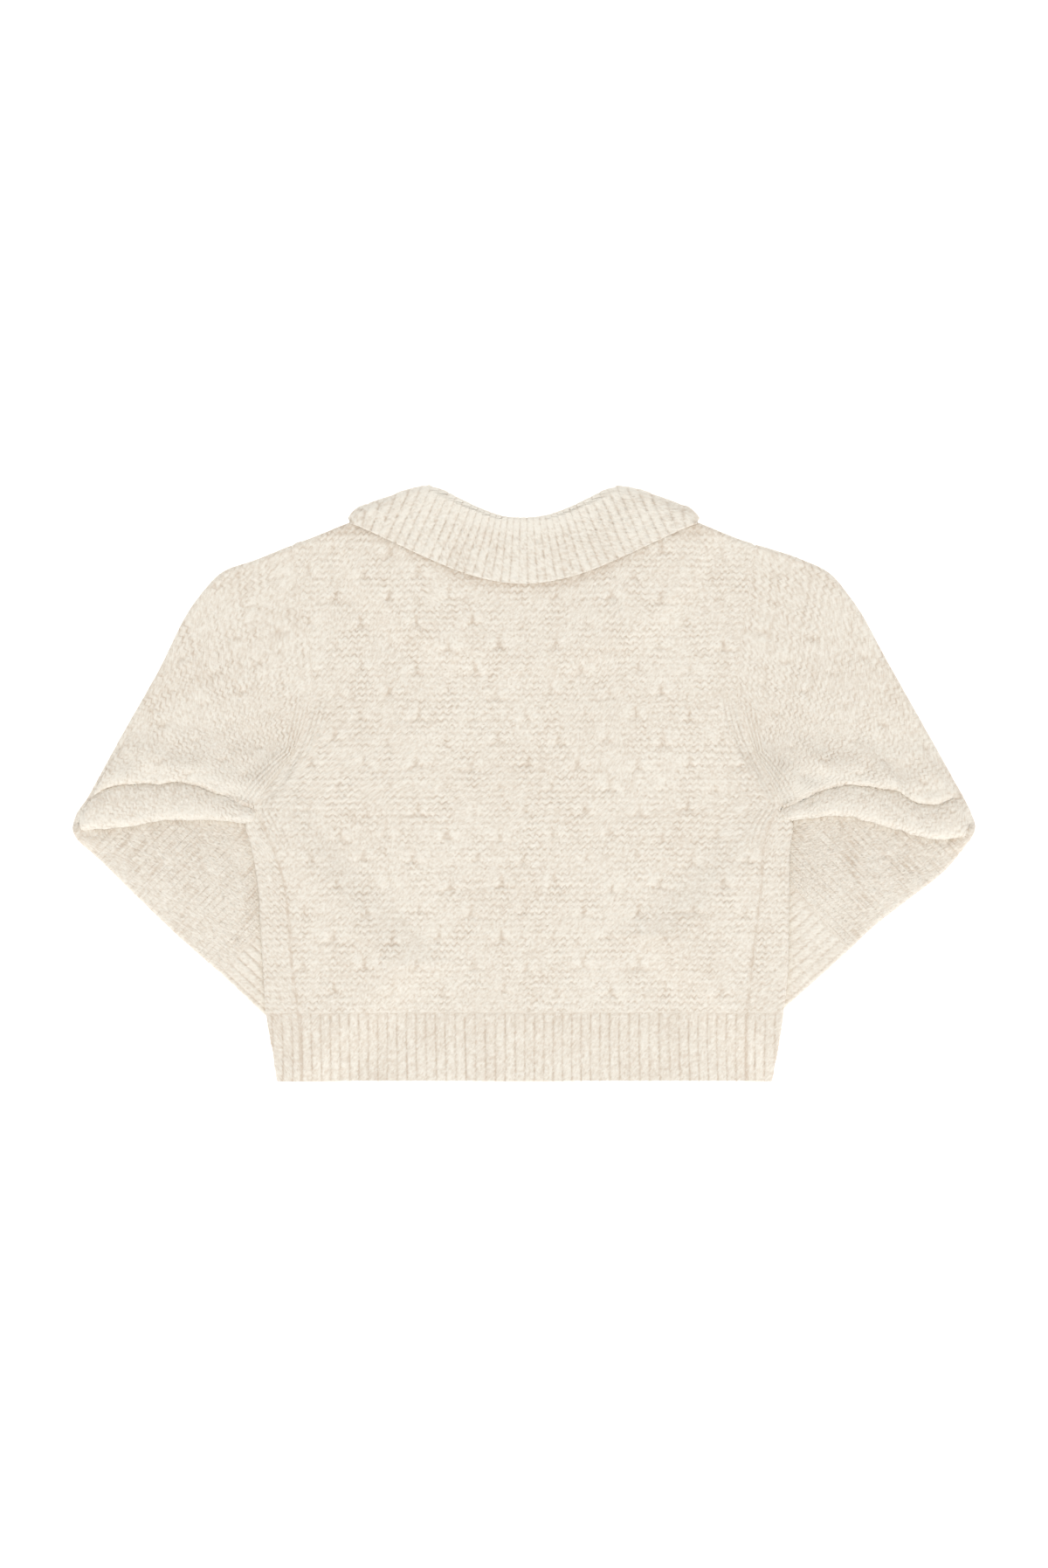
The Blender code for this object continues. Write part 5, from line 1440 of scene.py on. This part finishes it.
# %% Buttons
HORN_DARK, HORN_PALE = (0.30, 0.19, 0.11, 1.0), (0.55, 0.40, 0.25, 1.0)
HORN_CLOUDS, HORN_GRAIN = 90.0, 700.0  # waves of noise per metre
RIM_PROFILE = [(0.0, 0.5), (6.2, 0.5), (7.2, 0.15), (8.2, 0.0), (9.2, 0.1), (9.8, 0.5), (10.0, 1.1),
               (9.8, 1.7), (9.2, 2.1), (8.4, 2.2), (0.0, 2.2)]  # radius and height
HOLE_COUNT, HOLE_RADIUS, HOLE_PLACE, HOLE_SIDES = 4, 1.0, 1.9, 12
BUTTON_SIDES, SHARP_ANGLE = 64, math.radians(40)

horn = Finish("Horn coloured button", 0.35, Coat_Weight=0.25, Coat_Roughness=0.2)
horn_place = horn.node("ShaderNodeTexCoord", {}, {}, "Object")
horn_cloud = horn.noise(horn_place, HORN_CLOUDS, 3.0)
horn_colour = horn.mixed(horn_cloud * 1.6 - 0.3, HORN_DARK, HORN_PALE)
button_horn = horn.finish(horn_colour, horn.noise(horn_place, HORN_GRAIN), 0.0001, 0.2)


def button_mesh():
    """The profile spun round, then four holes cut through it."""
    bm = bmesh.new()
    ring = [bm.verts.new((radius * MM, 0.0, height * MM)) for radius, height in RIM_PROFILE]
    edges = [bm.edges.new(pair) for pair in zip(ring, ring[1:])]
    bmesh.ops.spin(bm, geom=ring + edges, cent=(0, 0, 0), axis=(0, 0, 1), angle=2 * math.pi,
                   steps=BUTTON_SIDES, use_merge=True)
    bmesh.ops.remove_doubles(bm, verts=bm.verts[:], dist=1e-7)
    bmesh.ops.recalc_face_normals(bm, faces=bm.faces[:])
    disc = bpy.data.meshes.new("Button disc")
    bm.to_mesh(disc)
    bm.free()
    bm = bmesh.new()
    for turn in range(HOLE_COUNT):
        angle = math.pi / 4 + turn * math.pi / 2
        place = (HOLE_PLACE * math.cos(angle) * MM, HOLE_PLACE * math.sin(angle) * MM, BUTTON_HEIGHT / 2 * MM)
        drill = bmesh.ops.create_cone(bm, cap_ends=True, segments=HOLE_SIDES, radius1=HOLE_RADIUS * MM,
                                      radius2=HOLE_RADIUS * MM, depth=BUTTON_HEIGHT * 3 * MM)["verts"]
        bmesh.ops.translate(bm, verts=drill, vec=place)
    drills = bpy.data.meshes.new("Button drills")
    bm.to_mesh(drills)
    bm.free()
    blank = bpy.data.objects.new("Button blank", disc)
    cutter = bpy.data.objects.new("Button cutter", drills)
    for helper in (blank, cutter):
        bpy.context.collection.objects.link(helper)
    cut = blank.modifiers.new("Holes", "BOOLEAN")
    cut.operation, cut.object = "DIFFERENCE", cutter
    graph = bpy.context.evaluated_depsgraph_get()
    made = bpy.data.meshes.new_from_object(blank.evaluated_get(graph))
    for helper in (blank, cutter):
        bpy.data.objects.remove(helper, do_unlink=True)
    return made


button_shape = button_mesh()
disc_points = np.empty(len(button_shape.vertices) * 3, np.float32)
button_shape.vertices.foreach_get("co", disc_points)
for number in range(1, BUTTON_COUNT + 1):
    mesh = button_shape.copy()
    centre_y = BUTTON_TOP_Y - (number - 1) * BUTTON_PITCH
    shift = np.array([-CENTRE[0], centre_y - CENTRE[1], 0.0]) * MM
    mesh.vertices.foreach_set("co", (disc_points.reshape(-1, 3) + shift).astype(np.float32).ravel())
    mesh.shade_smooth()
    mesh.set_sharp_from_angle(angle=SHARP_ANGLE)
    mesh.materials.clear()
    mesh.materials.append(button_horn)
    button = bpy.data.objects.new(f"button_{number}_disc", mesh)
    bpy.context.collection.objects.link(button)
    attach(button, ROOT)
    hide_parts(f"button_{number}")
print("buttons:", BUTTON_COUNT, "of", len(button_shape.polygons), "faces each")
